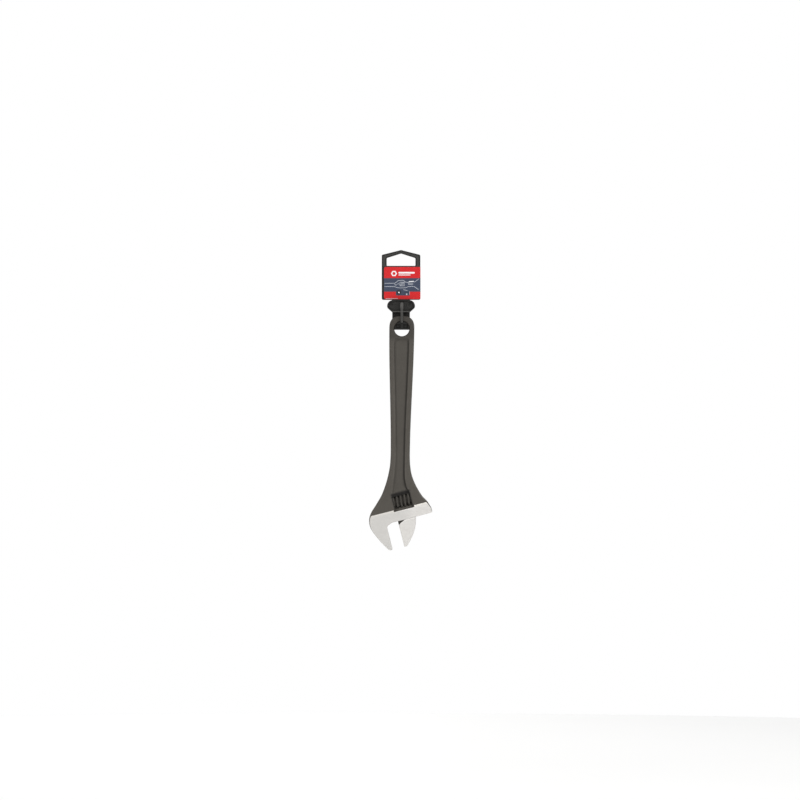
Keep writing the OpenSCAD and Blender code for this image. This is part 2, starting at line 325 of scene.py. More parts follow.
class Layout:
    """Points and edges from which a flat outline is cut into triangles."""

    def __init__(self, loops):
        self.loops = loops
        self.points, self.edges, self.followed = [], [], []
        for loop in loops:
            self.add(loop, True)

    def add(self, line, closed):
        """Adds a line of points, joined by edges."""
        start = len(self.points)
        self.points.extend(map(tuple, line))
        self.edges.extend((start + k, start + k + 1) for k in range(len(line) - 1))
        if closed:
            self.edges.append((start + len(line) - 1, start))

    def follow(self, line, keep):
        """Adds the stretches of a line that are kept."""
        self.followed.append(line[keep])
        for part in runs(line, keep):
            self.add(part, False)

    def fill(self, grain):
        """Adds rows of points grain apart, clear of the outlines and of the lines that were added."""
        low, high = self.loops[0].min(0), self.loops[0].max(0)
        across = np.arange(low[0], high[0], grain)
        rows = np.arange(low[1], high[1], grain * 0.866)
        fill = np.array([(x + (k % 2) * grain / 2, z) for k, z in enumerate(rows) for x in across])
        fill = fill[within(fill, self.loops, grain * 0.6)]
        near = [q for q in self.followed if len(q)]
        if near:
            cell = grain * 0.5
            taken = {tuple(c) for c in np.floor(np.concatenate(near) / cell).astype(int)}
            fill = fill[[not any((a + i, b + j) in taken for i in (-1, 0, 1) for j in (-1, 0, 1))
                         for a, b in np.floor(fill / cell).astype(int)]]
        self.points.extend(map(tuple, fill))

    def triangles(self):
        """The flat points and the triangles inside the outline, all turned the same way."""
        made = delaunay_2d_cdt([Vector(p) for p in self.points], self.edges, [], 0, 1e-5)
        flat = np.array([tuple(v) for v in made[0]])
        tri = np.array([f for f in made[2] if len(f) == 3])
        tri = tri[within(flat[tri].mean(1), self.loops, 0)]
        a, b, c = flat[tri[:, 0]], flat[tri[:, 1]], flat[tri[:, 2]]
        area = (b - a)[:, 0] * (c - a)[:, 1] - (b - a)[:, 1] * (c - a)[:, 0]
        tri[area < 0] = tri[area < 0][:, ::-1]
        used, tri = np.unique(tri, return_inverse=True)
        return flat[used], tri.reshape(-1, 3)


def level(y):
    """A flat surface, as plate takes it."""
    return lambda p: np.full(len(p), float(y))


def plate(name, outline, front, back, at, holes=(), steps=(), grain=1.6, lines=(), rows=1):
    """A solid between two surfaces y = front(points) and y = back(points) over an outline in x and z.

    steps is a list of (closed line, offsets): rows of points that follow a line at those
    distances to its left, so that a rounded edge or a slope gets its own rows. lines are open
    lines of points. The rest is filled with points grain apart. The rim has rows of faces.
    """
    loops = [np.asarray(outline)] + [np.asarray(h) for h in holes]
    layout = Layout(loops)
    for line, offsets in steps:
        for by in offsets:
            row = offset_line(line, by)
            layout.follow(row, (distance(row, line, True) > abs(by) - 0.02) & within(row, loops, 0.04))
    for line in lines:
        line = np.asarray(line)
        layout.follow(line, within(line, loops, 0.02))
    layout.fill(grain)
    flat, tri = layout.triangles()
    n = len(flat)
    y_front, y_back = front(flat), back(flat)
    vertices = [(x, y, z) for depth in (y_front, y_back) for (x, z), y in zip(flat, depth)]
    faces = [tuple(t) for t in tri] + [tuple(t[::-1] + n) for t in tri]
    directed = {(t[i], t[(i + 1) % 3]) for t in tri.tolist() for i in range(3)}
    border = sorted(e for e in directed if e[::-1] not in directed)
    # each point of the rim has a ladder of vertices from front to back
    ladder = {}
    for v in sorted({v for e in border for v in e}):
        first = len(vertices)
        vertices += [(flat[v][0], y_front[v] + (y_back[v] - y_front[v]) * t, flat[v][1])
                     for t in np.arange(1, rows) / rows]
        ladder[v] = [v, *range(first, first + rows - 1), v + n]
    for p, q in border:
        faces += [(ladder[q][k], ladder[p][k], ladder[p][k + 1], ladder[q][k + 1])
                  for k in range(rows)]
    return new_object(name, vertices, faces, at)


def evaluated(piece):
    """Works piece's modifiers into a plain mesh."""
    graph = bpy.context.evaluated_depsgraph_get()
    mesh = bpy.data.meshes.new_from_object(piece.evaluated_get(graph))
    piece.modifiers.clear()
    old = piece.data
    piece.data = mesh
    bpy.data.meshes.remove(old)
    mesh.name = piece.name


def combine(piece, others, operation):
    """Cuts or adds other solids to piece, and removes them."""
    for other in others:
        step = piece.modifiers.new(operation.lower(), "BOOLEAN")
        step.operation, step.solver, step.object = operation, "EXACT", other
        evaluated(piece)
        bpy.data.objects.remove(other)


def revolved(name, profile, at, sides=64):
    """A closed solid turned about the u axis; profile is a list of (u, r) with r = 0 at both ends."""
    vertices, rows = [], []
    for u, r in profile:
        if r == 0:
            rows.append([len(vertices)] * sides)
            vertices.append((u, 0, 0))
        else:
            rows.append(list(range(len(vertices), len(vertices) + sides)))
            vertices += [(u, r * math.sin(a), r * math.cos(a))
                         for a in np.arange(sides) * math.tau / sides]
    faces = []
    for one, two in zip(rows, rows[1:]):
        for k in range(sides):
            j = (k + 1) % sides
            face = list(dict.fromkeys((one[k], one[j], two[j], two[k])))
            faces.append(face[::-1])
    made = new_object(name, vertices, faces, at)
    return outward(made)


def block(name, low, high, at):
    """A box from its lowest to its highest corner."""
    x, y, z = zip(low, high)
    vertices = [(x[i], y[j], z[k]) for i in (0, 1) for j in (0, 1) for k in (0, 1)]
    faces = [(0, 1, 3, 2), (4, 6, 7, 5), (0, 4, 5, 1), (2, 3, 7, 6), (0, 2, 6, 4), (1, 5, 7, 3)]
    return outward(new_object(name, vertices, faces, at))


def outward(piece):
    """Merges doubled vertices and turns every face outwards."""
    bm = bmesh.new()
    bm.from_mesh(piece.data)
    bmesh.ops.remove_doubles(bm, verts=bm.verts, dist=1e-7)
    bmesh.ops.recalc_face_normals(bm, faces=bm.faces)
    bm.to_mesh(piece.data)
    bm.free()
    return piece


def shade(piece, sharp):
    """Smooth shading up to an angle in degrees."""
    mesh = piece.data
    mesh.polygons.foreach_set("use_smooth", [True] * len(mesh.polygons))
    mesh.set_sharp_from_angle(angle=math.radians(sharp))
    mesh.update()


def finish_mesh(piece, sharp=32.0):
    """Clean vertices and smooth shading."""
    bm = bmesh.new()
    bm.from_mesh(piece.data)
    bmesh.ops.remove_doubles(bm, verts=bm.verts, dist=2e-6)
    bmesh.ops.dissolve_degenerate(bm, edges=bm.edges, dist=1e-6)
    bm.to_mesh(piece.data)
    bm.free()
    shade(piece, sharp)
    return piece


def read(items, name, width=1, kind=float):
    """One property of every item of a mesh, as an array."""
    out = np.empty(len(items) * width, kind)
    items.foreach_get(name, out)
    return out if width == 1 else out.reshape(-1, width)


def to_frame(points, frame_matrix):
    """Points in metres in the millimetres of a frame."""
    m = np.array(frame_matrix.inverted())
    return points @ m[:3, :3].T + m[:3, 3]


def local(piece, frame_matrix):
    """piece's vertices in the millimetres of a frame."""
    return to_frame(read(piece.data.vertices, "co", 3), frame_matrix)


def face_centres(piece, frame_matrix):
    """The middles of piece's faces in the millimetres of a frame."""
    return to_frame(read(piece.data.polygons, "center", 3), frame_matrix)


def mark(piece, name, values, domain="POINT"):
    """Stores a field that a finish reads."""
    layer = piece.data.attributes.new(name, "FLOAT", domain)
    layer.data.foreach_set("value", np.asarray(values, np.float32))


def mark_ground(piece, per_vertex, machined):
    """The field 'ground' on face corners: the vertices' values, except on faces left as cut."""
    mesh = piece.data
    out = np.asarray(per_vertex, float)[read(mesh.loops, "vertex_index", 1, int)]
    out[np.repeat(machined, read(mesh.polygons, "loop_total", 1, int))] = NOT_GROUND
    mark(piece, "ground", out, "CORNER")


# ---------------------------------------------------------------- node trees
class Value:
    """A socket that takes part in sums: adding, scaling or comparing it adds Math nodes."""

    def __init__(self, net, socket):
        self.net, self.socket = net, socket

    def __add__(self, other):
        return self.net.math("ADD", self, other)

    def __sub__(self, other):
        return self.net.math("SUBTRACT", self, other)

    def __rsub__(self, other):
        return self.net.math("SUBTRACT", other, self)

    def __mul__(self, other):
        return self.net.math("MULTIPLY", self, other)

    def __truediv__(self, other):
        return self.net.math("DIVIDE", self, other)

    def __rtruediv__(self, other):
        return self.net.math("DIVIDE", other, self)

    def __lt__(self, other):
        return self.net.math("LESS_THAN", self, other)

    def __gt__(self, other):
        return self.net.math("GREATER_THAN", self, other)

    def __abs__(self):
        return self.net.math("ABSOLUTE", self)

    __radd__ = __add__
    __rmul__ = __mul__


class Net:
    """A node tree under construction."""

    def __init__(self, tree):
        self.tree = tree

    def node(self, kind, settings=None, out=0, **sockets):
        """A node: its settings first, then the values or links of its sockets. Returns one output.

        A socket is named by its name with _ for a blank, or by its number as in at_3.
        """
        made = self.tree.nodes.new(kind)
        for name, value in (settings or {}).items():
            setattr(made, name, value)
        for name, value in sockets.items():
            key = int(name[3:]) if name.startswith("at_") else name.replace("_", " ")
            socket = made.inputs[key]
            if isinstance(value, Value):
                self.tree.links.new(value.socket, socket)
            elif hasattr(socket.default_value, "__len__") and len(value) < len(socket.default_value):
                socket.default_value = (*value, 1.0)
            else:
                socket.default_value = value
        return Value(self, made.outputs[out]) if len(made.outputs) else made

    def math(self, operation, a, b=0.0):
        return self.node("ShaderNodeMath", {"operation": operation}, at_0=a, at_1=b)

    def step(self, value, low, high, ease="SMOOTHSTEP"):
        """0 where value is below low, 1 above high, eased between."""
        return self.node("ShaderNodeMapRange", {"interpolation_type": ease},
                         Value=value, From_Min=low, From_Max=high)

    def part(self, vector, axis):
        """One of a vector's X, Y and Z."""
        return self.node("ShaderNodeSeparateXYZ", out=axis, Vector=vector)

    def mix(self, share, a, b):
        return self.node("ShaderNodeMix", {"data_type": "RGBA"}, out=2, at_0=share, at_6=a, at_7=b)

    def place(self, turn=0.0, scale=(1, 1, 1)):
        """Object coordinates, turned about the back axis and then scaled."""
        here = self.node("ShaderNodeTexCoord", out="Object")
        return self.node("ShaderNodeMapping", Vector=here, Rotation=(0, turn, 0), Scale=scale)

    def noise(self, scale, detail=2.0, rough=0.5, at=None, warp=0.0):
        at = at or self.node("ShaderNodeTexCoord", out="Object")
        return self.node("ShaderNodeTexNoise", Vector=at, Scale=scale, Detail=detail,
                         Roughness=rough, Distortion=warp)

    def field(self, name):
        return self.node("ShaderNodeAttribute", {"attribute_name": name}, out="Fac")

    def bump(self, height, depth, strength):
        """A bumpy normal; height is in units of depth metres."""
        return self.node("ShaderNodeBump", Strength=strength, Distance=depth, Height=height)


def material(name):
    """An empty material and the net that builds it."""
    made = bpy.data.materials.new(name)
    made.use_nodes = True
    made.node_tree.nodes.clear()
    return made, Net(made.node_tree)


def surface(net, **sockets):
    """Ends a material with one shader, whose sockets are given by name."""
    shader = net.node("ShaderNodeBsdfPrincipled", **sockets)
    net.node("ShaderNodeOutputMaterial", Surface=shader)


# ---------------------------------------------------------------- finishes
def phosphated(net):
    """Colour and roughness of forged steel with a black phosphate coat, and painted shade in recesses
    and gaps.
    """
    cloud = net.noise(45, 3, 0.55)
    grain = net.noise(900, 2, 0.6)
    speck = net.step(net.noise(2600, 1), 0.60, 0.72)
    worn = net.field("edge") * net.step(net.noise(100, 4, 0.7), 0.35, 0.65)
    deep = net.field("hollow")
    coat = net.mix(cloud, (0.055, 0.0485, 0.040), (0.075, 0.0675, 0.057))
    coat = net.mix(grain * 0.35, coat, (0.092, 0.083, 0.071))
    coat = net.mix(speck * 0.30, coat, (0.13, 0.12, 0.105))
    coat = net.mix(worn * 0.38, coat, (0.20, 0.19, 0.175))
    # painted shade: the coat is darkened towards black where recesses and gaps are marked, standing in
    # for their shade
    coat = net.mix(deep * 0.8, coat, (0.012, 0.011, 0.010))
    rough = 0.50 + cloud * 0.10 + grain * 0.06 - worn * 0.14 + deep * 0.25
    return coat, rough, grain


def wrench_steel():
    """Black forging with its machined faces ground bright, where the field 'ground' is above 0."""
    made, net = material("phosphated and ground steel")
    coat, coat_rough, grain = phosphated(net)
    lines = net.noise(1.0, 3, 0.7, net.place(-JAW_ANGLE, (70, 900, 5200)))
    swirl = net.noise(30, 2, 0.5)
    stain = net.step(net.noise(95, 4, 0.6, warp=0.6), 0.62, 0.80)
    bright = net.mix(lines, (0.59, 0.570, 0.545), (0.77, 0.755, 0.73))
    bright = net.mix(swirl * 0.35, bright, (0.66, 0.64, 0.61))
    bright = net.mix(stain * 0.25, bright, (0.52, 0.47, 0.42))
    ragged = net.field("ground") + (net.noise(1500, 2) - 0.5) * 0.05
    ground = net.step(ragged, -0.02, 0.05)
    # painted highlight: a cream line just inside the edge of the ground faces, where the step's bevel
    # catches the light
    painted_step_highlight = 1 - net.step(ragged, 0.10, 0.35)
    bright = net.mix(painted_step_highlight * 0.55, bright, (0.90, 0.86, 0.79))
    # painted shade: the ground faces darken towards the left of the head, fading out between x = -2 and
    # 18 mm, where less light falls; the sliding jaw is left out
    across = net.part(net.place(), "X")
    painted_left_shade = (1 - net.step(across, -0.002, 0.018)) * (ragged < JAW_GROUND - 1)
    bright = net.mix(painted_left_shade * 0.22, bright, (0.32, 0.32, 0.31))
    height = grain * 0.7 * (1 - ground) + lines * 0.18 * ground
    surface(net, Base_Color=net.mix(ground, coat, bright),
            Metallic=0.35 + ground * 0.60,
            Roughness=coat_rough * (1 - ground) + (0.36 + lines * 0.10 + swirl * 0.05) * ground,
            Normal=net.bump(height, 0.00018, 0.9), Specular_IOR_Level=0.45)
    return made


def black_oxide():
    """Turned steel with an oiled black oxide finish, for the worm."""
    made, net = material("black oxide turned steel")
    coat, rough, grain = phosphated(net)
    crest = net.field("crest")
    turning = net.noise(1.0, 2, 0.5, net.place(-JAW_ANGLE, (3500, 60, 60)))
    # the crests are lightened, partly as wear and partly as a painted highlight
    tone = net.mix(crest * 0.6, coat, (0.085, 0.080, 0.072))
    tone = net.mix(turning * 0.3, tone, (0.02, 0.018, 0.016))
    surface(net, Base_Color=tone, Metallic=0.3, Roughness=rough + 0.06 - crest * 0.06,
            Specular_IOR_Level=0.3,
            Normal=net.bump(turning * 0.5 + grain * 0.5, 0.00005, 0.8))
    return made


def bright_steel():
    """Drawn steel wire and pin stock."""
    made, net = material("drawn steel")
    lines = net.noise(1.0, 2, 0.6, net.place(-JAW_ANGLE, (120, 3000, 3000)))
    spots = net.noise(400, 3, 0.6)
    tone = net.mix(lines, (0.26, 0.25, 0.235), (0.42, 0.41, 0.39))
    tone = net.mix(net.step(spots, 0.55, 0.75) * 0.5, tone, (0.14, 0.13, 0.12))
    surface(net, Base_Color=tone, Metallic=0.9, Roughness=0.30 + spots * 0.18,
            Normal=net.bump(lines * 0.5 + spots * 0.5, 0.00003, 0.8))
    return made


def moulded_plastic():
    """Black plastic with a fine spark-eroded grain, with painted highlights along its ribs and painted
    shade in its pockets and along its rims.
    """
    made, net = material("grained black plastic")
    grain = net.noise(2200, 2, 0.6)
    flow = net.noise(28, 3, 0.5, warp=1.2)
    scuff = net.step(net.noise(1.0, 3, 0.6, net.place(0.4, (90, 90, 700))), 0.58, 0.74)
    tone = net.mix(flow, (0.0125, 0.012, 0.011), (0.0195, 0.019, 0.0175))
    # painted highlights: the tone is lightened on the marked ribs, strap, lip and ear rings
    tone = net.mix(net.field("edge"), tone, (0.088, 0.086, 0.081))
    tone = net.mix(scuff * 0.12, tone, (0.08, 0.08, 0.075))
    # painted shade: darkened towards black in the plug, along the board's rims and round the lobes'
    # rolled edges
    tone = net.mix(net.field("hollow"), tone, (0.005, 0.005, 0.0045))
    surface(net, Base_Color=tone, Roughness=0.46 + grain * 0.12 + flow * 0.08 - scuff * 0.05,
            Normal=net.bump(grain, 0.00006, 0.7), Specular_IOR_Level=0.20)
    return made


INKS = {"red": (0.605, 0.006, 0.009), "slate": (0.040, 0.053, 0.092), "white": (0.86, 0.86, 0.86),
        "pale": (0.50, 0.52, 0.56), "dark": (0.018, 0.020, 0.030)}
INK_NUMBER = {name: k for k, name in enumerate(INKS)}


def printed_card():
    """Coated card: each face's ink is its number in the field 'ink'."""
    made, net = material("printed card")
    ink = net.field("ink")
    tone = INKS["red"]
    for name, colour in list(INKS.items())[1:]:
        tone = net.mix(ink > INK_NUMBER[name] - 0.5, tone, colour)
    mottle = net.noise(160, 4, 0.6)
    screen = net.noise(3000, 1)
    crease = net.step(net.noise(1.0, 3, 0.7, net.place(0.9, (14, 14, 320)), warp=0.4), 0.66, 0.78)
    tone = net.mix(mottle * 0.10, tone, (0.02, 0.02, 0.02))
    tone = net.mix(screen * 0.015, tone, (0.9, 0.9, 0.9))
    tone = net.mix(crease * 0.05, tone, (0.9, 0.88, 0.86))
    worn = net.field("edge")
    tone = net.mix(worn * net.step(net.noise(500, 2), 0.50, 0.70) * 0.15, tone, (0.80, 0.78, 0.76))
    surface(net, Base_Color=tone, Roughness=0.38 + mottle * 0.14 + crease * 0.10,
            Normal=net.bump(mottle * 0.6 + screen * 0.2 + crease * 0.2, 0.00008, 0.5),
            Specular_IOR_Level=0.16, Coat_Weight=0.05, Coat_Roughness=0.22)
    return made


STEEL = wrench_steel()
OXIDE = black_oxide()
DRAWN = bright_steel()
PLASTIC = moulded_plastic()
CARD = printed_card()


# ---------------------------------------------------------------- shapes made by a rule
def grown(name, sizes, build, finish, at):
    """A piece from a node tree: build takes the tree and its named sizes and returns geometry."""
    tree = bpy.data.node_groups.new(name, "GeometryNodeTree")
    tree.interface.new_socket("Geometry", in_out="OUTPUT", socket_type="NodeSocketGeometry")
    keys = {}
    for label in sizes:
        socket = tree.interface.new_socket(label, in_out="INPUT", socket_type="NodeSocketFloat")
        keys[label] = socket.identifier
    net = Net(tree)
    group = tree.nodes.new("NodeGroupInput")
    given = {label: Value(net, group.outputs[label]) for label in sizes}
    shape = net.node("GeometryNodeRealizeInstances", Geometry=build(net, given))
    shape = net.node("GeometryNodeSetMaterial", Geometry=shape, Material=finish)
    out = tree.nodes.new("NodeGroupOutput")
    tree.links.new(shape.socket, out.inputs[0])
    piece = new_object(name, [(0, 0, 0)], [])
    step = piece.modifiers.new(name, "NODES")
    step.node_group = tree
    for label, value in sizes.items():
        step[keys[label]] = float(value)
    evaluated(piece)
    piece.data.transform(at)
    return piece


def thread_rule(net, size):
    """A helical thread with a notched crest, as a sheet of rows along and columns round.

    The sheet's first and last rows close on the axis, so the screw is a solid.
    """
    pitch, length, crest, bevel = size["Pitch"], size["Length"], size["Crest"], size["Bevel"]
    rows = net.math("ROUND", (length + pitch) * size["Rows per mm"] + 3)
    span = rows / size["Rows per mm"]
    columns = net.math("ROUND", size["Notches"] * 6 + 1)
    sheet = net.node("GeometryNodeMeshGrid", Size_X=span, Size_Y=math.tau, Vertices_X=rows + 1,
                     Vertices_Y=columns)
    place = net.node("GeometryNodeInputPosition")
    row = net.part(place, "X")
    turn = net.part(place, "Y") + math.pi
    lead = pitch * turn / math.tau
    along = net.math("MINIMUM", row - pitch / 2 + length / 2 + lead, length)
    along = net.math("MAXIMUM", along, 0.0)
    phase = net.math("FRACT", (along - lead - size["Crest at"]) / pitch + 10.5)
    off_crest = abs(phase - 0.5) * pitch
    # the flanks, the notches across the crest and the crest's own softened edges
    rise = 1 - net.step(off_crest, crest / 2, size["Root"] / 2, "LINEAR")
    notch = net.math("FRACT", turn * size["Notches"] / math.tau)
    groove = net.step(abs(notch - 0.5), 0.18, 0.42, "LINEAR") * (off_crest < crest / 2 + 0.05)
    eased = net.step(off_crest, crest / 2 - 0.4, crest / 2, "LINEAR") * 0.12
    outer = size["Core radius"] + (size["Outer radius"] - size["Core radius"]) * rise
    radius = outer - (groove * size["Notch depth"] + eased) * (rise > 0.99)
    # a bevel at both ends, and the two closing rows on the axis
    from_end = net.math("MINIMUM", along, length - along)
    limit = size["Outer radius"] - (1 - net.step(from_end, 0.0, bevel, "LINEAR")) * bevel
    radius = net.math("MINIMUM", radius, limit)
    radius = radius * (abs(row) < span / 2 - 0.02)
    spot = net.node("ShaderNodeCombineXYZ", X=along, Y=radius * net.math("SINE", turn),
                    Z=radius * net.math("COSINE", turn))
    shape = net.node("GeometryNodeSetPosition", Geometry=sheet, Position=spot)
    return net.node("GeometryNodeMergeByDistance", Geometry=shape, Distance=0.002)


def coil_rule(net, size):
    """A compression spring wound about the u axis."""
    path = net.node("GeometryNodeCurveSpiral", Resolution=24, Rotations=size["Turns"],
                    Start_Radius=size["Radius"], End_Radius=size["Radius"], Height=size["Length"])
    wire = net.node("GeometryNodeCurvePrimitiveCircle", Resolution=10, Radius=size["Wire radius"])
    return net.node("GeometryNodeCurveToMesh", Curve=path, Profile_Curve=wire, Fill_Caps=True)


def row_rule(cutter):
    """Copies of a cutter in a row along u, each turned about w by the lead angle."""
    def build(net, size):
        line = net.node("GeometryNodeMeshLine", Count=net.math("ROUND", size["Count"]),
                        Start_Location=net.node("ShaderNodeCombineXYZ", X=size["First"]),
                        Offset=net.node("ShaderNodeCombineXYZ", X=size["Pitch"]))
        shape = net.node("GeometryNodeObjectInfo", out="Geometry", Object=cutter)
        turned = net.node("ShaderNodeCombineXYZ", Z=size["Lead angle"])
        return net.node("GeometryNodeInstanceOnPoints", Points=line, Instance=shape,
                        Rotation=turned)
    return build


# ---------------------------------------------------------------- the wrench body
def half_width(z):
    """Half the handle's width at height z."""
    return (NECK_W + (HANDLE_W - NECK_W) * smooth((z - NECK_Z) / (HOLE_Z - NECK_Z))) / 2


def jaw_tip(side):
    """The blunt rounded tip of a jaw, from its back to its face; side is -1 on the fixed jaw."""
    blunt = [(4.35, 0.55), (3.5, 0.12), (2.6, 0)]
    arc = [(TIP_R * (1 - math.sin(a)), TIP_R * (1 - math.cos(a)))
           for a in np.radians(np.arange(0, 91, 22.5))]
    return [(side * u, w - JAW_DEPTH) for u, w in blunt + arc]


def body_lines():
    """The body's outline: the forged flanks and handle, then the machined jaw and slide."""
    edge = [(half_width(z), z) for z in np.linspace(NECK_Z, HOLE_Z, 40)]
    squareness = 0.77
    end = [(HANDLE_W / 2 * math.copysign(abs(math.cos(a)) ** squareness, math.cos(a)),
            HOLE_Z + (HANDLE_TOP - HOLE_Z) * math.sin(a) ** squareness)
           for a in np.radians(np.arange(3, 178, 3))]
    right = curve([from_head(HEAD_END, 2), from_head(HEAD_END, 6), (38.8, 21.6), (35.3, 26.7),
                   (29.0, 33.2), (21.0, 46.1), (15.6, 59.1), (13.2, 72), edge[0]])
    left = curve([(-edge[0][0], NECK_Z), (-13.2, 72), (-15.5, 58.7), (-19, 45.6), (-23.9, 32.5),
                  (-30.5, 20.7), (-37.1, 9.7), (-39.4, 0), (-37.0, -10.7), (-29.6, -21.1),
                  (-20.9, -31.0), from_head(-FIXED_FACE - 5, -JAW_DEPTH + 1)])
    forged = right + edge[1:] + end + mirrored(edge[1:]) + left
    tip = jaw_tip(-1) + [(0, -9.0)]
    throat = curve([(0, -5.6), (0.15, -4.5), (0.8, -3.3), (2.2, -2.3), (4.8, -1.2), (8.1, 0)], 4)
    cut = [from_head(u - FIXED_FACE, w) for u, w in tip + throat]
    cut += [from_head(HEAD_END - 1.5, 0), from_head(HEAD_END - 0.4, 0.6)]
    return forged, cut


def panel_line():
    """The sunk panel of the handle, down to the worm window."""
    side = [(half_width(z) - RAIL_W, z) for z in np.linspace(NECK_Z, PANEL_TOP_Z - CORNER_R, 12)]
    wide, low = side[-1]
    turn = [(wide + CORNER_R * (math.cos(a) - 1), low + CORNER_R * math.sin(a))
            for a in np.radians(np.arange(15, 91, 15))]
    top = turn + mirrored(turn)
    right = [from_head(WINDOW_U[1], WINDOW_TOP), (8.8, 45.5), (6.7, 56), (6.2, 68), side[0]]
    left = [(-side[0][0], NECK_Z), (-7.3, 68), (-8.8, 52), from_head(WINDOW_U[0], WINDOW_TOP)]
    right, left = curve(right, 6), curve(left, 6)
    foot = [from_head(u, WINDOW_W[1] - 2) for u in WINDOW_U]
    return foot + right + side[1:] + top + mirrored(side)[:-1] + left


FORGED, CUT = body_lines()
PANEL = panel_line()
WINDOW = [from_head(WINDOW_U[i], WINDOW_W[j]) for i, j in ((0, 0), (1, 0), (1, 1), (0, 1))]


def body_half(z):
    """Half the forging's thickness, which grows from the handle to the head."""
    return HANDLE_HALF + (HEAD_HALF - HANDLE_HALF) * smooth((98 - z) / 52)


def floor_half(z):
    """How far the floor of the sunk panel lies from the middle."""
    return np.interp(z, [20, 50, 96], [6.9, 6.1, HANDLE_HALF - PANEL_DEPTH])


def ground_half(w):
    """Half the thickness between the ground faces, which taper to the jaws' tips."""
    taper = (GROUND_W - w) / (GROUND_W + JAW_DEPTH)
    return HEAD_HALF - GRINDING - (HEAD_HALF - TIP_HALF) * taper


def forged_half(p):
    """Half the thickness of the forging, before its head is ground."""
    z = p[:, 1]
    edge = distance(p, FORGED)
    off_crown = np.clip(edge, 0, RAIL_W) / (RAIL_W / 2) - 1
    crown = 0.22 * off_crown ** 2 * smooth((z - 60) / 30)
    h = body_half(z) - turned_edge(edge, EDGE_R) - crown
    h = h - turned_edge(distance(p, CUT), CUT_EDGE)
    sunk = signed(p, PANEL)
    soft = np.where(p[:, 0] < 0, 1.8 + 2.6 * smooth((110 - z) / 50), 1.5)
    soft = soft + 4.0 * smooth((z - 230) / 8)
    h = h + (np.minimum(floor_half(z), h) - h) * smooth(sunk / soft)
    return h - 0.85 * np.clip(1 - from_hole(p) / 1.3, 0, 1)


def from_hole(p):
    """How far points lie from the rim of the hanging hole."""
    return np.hypot(p[:, 0], p[:, 1] - HOLE_Z) - HOLE_R


def notch(q):
    """How far inside the black notch round the window points of the head's frame are."""
    side = np.minimum(q[:, 0] - BLACK_U[0], BLACK_U[1] - q[:, 0])
    return np.minimum(side, q[:, 1] - WINDOW_W[0])


def ground_depth(p, h):
    """Above 0 where the head is ground: how far the forging stood above the ground face."""
    q = to_head(p)
    return np.minimum(np.minimum(h - ground_half(q[:, 1]), GROUND_W - q[:, 1]), -notch(q))


def body_surface(p):
    """Half the body's thickness: the forging, ground faces a step lower, and the window's edge."""
    q = to_head(p)
    h = forged_half(p)
    black = np.maximum(notch(q), q[:, 1] - GROUND_W)
    ground = np.minimum(h, ground_half(q[:, 1]))
    h = ground + (h - ground) * np.clip(black / STEP_RUN, 0, 1)
    edge_r = np.where(q[:, 1] > WINDOW_W[1], 0.1, 0.4)
    return h - turned_edge(np.maximum(-signed(p, WINDOW), 0), edge_r)


def bar(w, *stations):
    """A solid turned about a line along u, at height w, from its (u, radius) stations."""
    first, last = stations[0], stations[-1]
    profile = [(first[0], 0), *stations, (last[0], 0)]
    return revolved("bar", profile, HEAD @ Matrix.Translation((0, 0, w)))


def wrench_body():
    """The forging with its head ground, its window and hanging hole, and the cuts for jaw and pin."""
    outline = spaced(FORGED + CUT, 1.5)
    hole = spaced(ring(0, HOLE_Z, HOLE_R, 96), 1.0)
    window = spaced(WINDOW, 1.4)
    panel = spaced(PANEL, 1.4)
    ground_lines = []
    for by in (0.0, STEP_RUN):
        left, right = BLACK_U[0] + by, BLACK_U[1] - by
        high, low = GROUND_W + by, WINDOW_W[0] + by
        corners = ((-60, high), (left, high), (left, low), (right, low), (right, high), (60, high))
        ground_lines.append(spaced([from_head(u, w) for u, w in corners], 1.0, closed=False))
    piece = plate("wrench_forging", outline, lambda p: -body_surface(p), body_surface, WRENCH,
                  holes=[hole, window],
                  steps=[(outline, (0.3, 0.8, 1.5, EDGE_R, 3.6)), (panel, (0.0, 0.7, 1.5)),
                         (hole, (-0.65, -1.3)), (window, (-0.15, -0.4, -1.3, -2.2, -3.2, -4.2))],
                  lines=ground_lines, grain=1.5, rows=4)
    far, mouth_r = HEAD_END + PAST, BORE_R + 0.8
    slot = block("slot", (BORE_START, -SLOT_HALF, SLOT_LOW), (far, SLOT_HALF, SHANK_W), HEAD)
    bore = bar(SHANK_W, (BORE_START, BORE_R), (HEAD_END - 1, BORE_R), (HEAD_END + 0.2, mouth_r),
               (far, mouth_r))
    pin_r, head_r, room = PIN_R + FIT, PIN_HEAD_R + FIT, WORM_R + 0.15
    left, right = WINDOW_U[0] + 0.01, WINDOW_U[1] - 0.01
    pin_hole = bar(WORM_W, (PIN_U[0] - 0.3, pin_r), (left, pin_r), (left, room), (right, room),
                   (right, pin_r), (PIN_HEAD_U, pin_r), (PIN_HEAD_U, head_r), (far, head_r))
    combine(piece, [bore, slot, pin_hole], "DIFFERENCE")
    finish_mesh(piece)
    forging_marks(piece)
    return piece


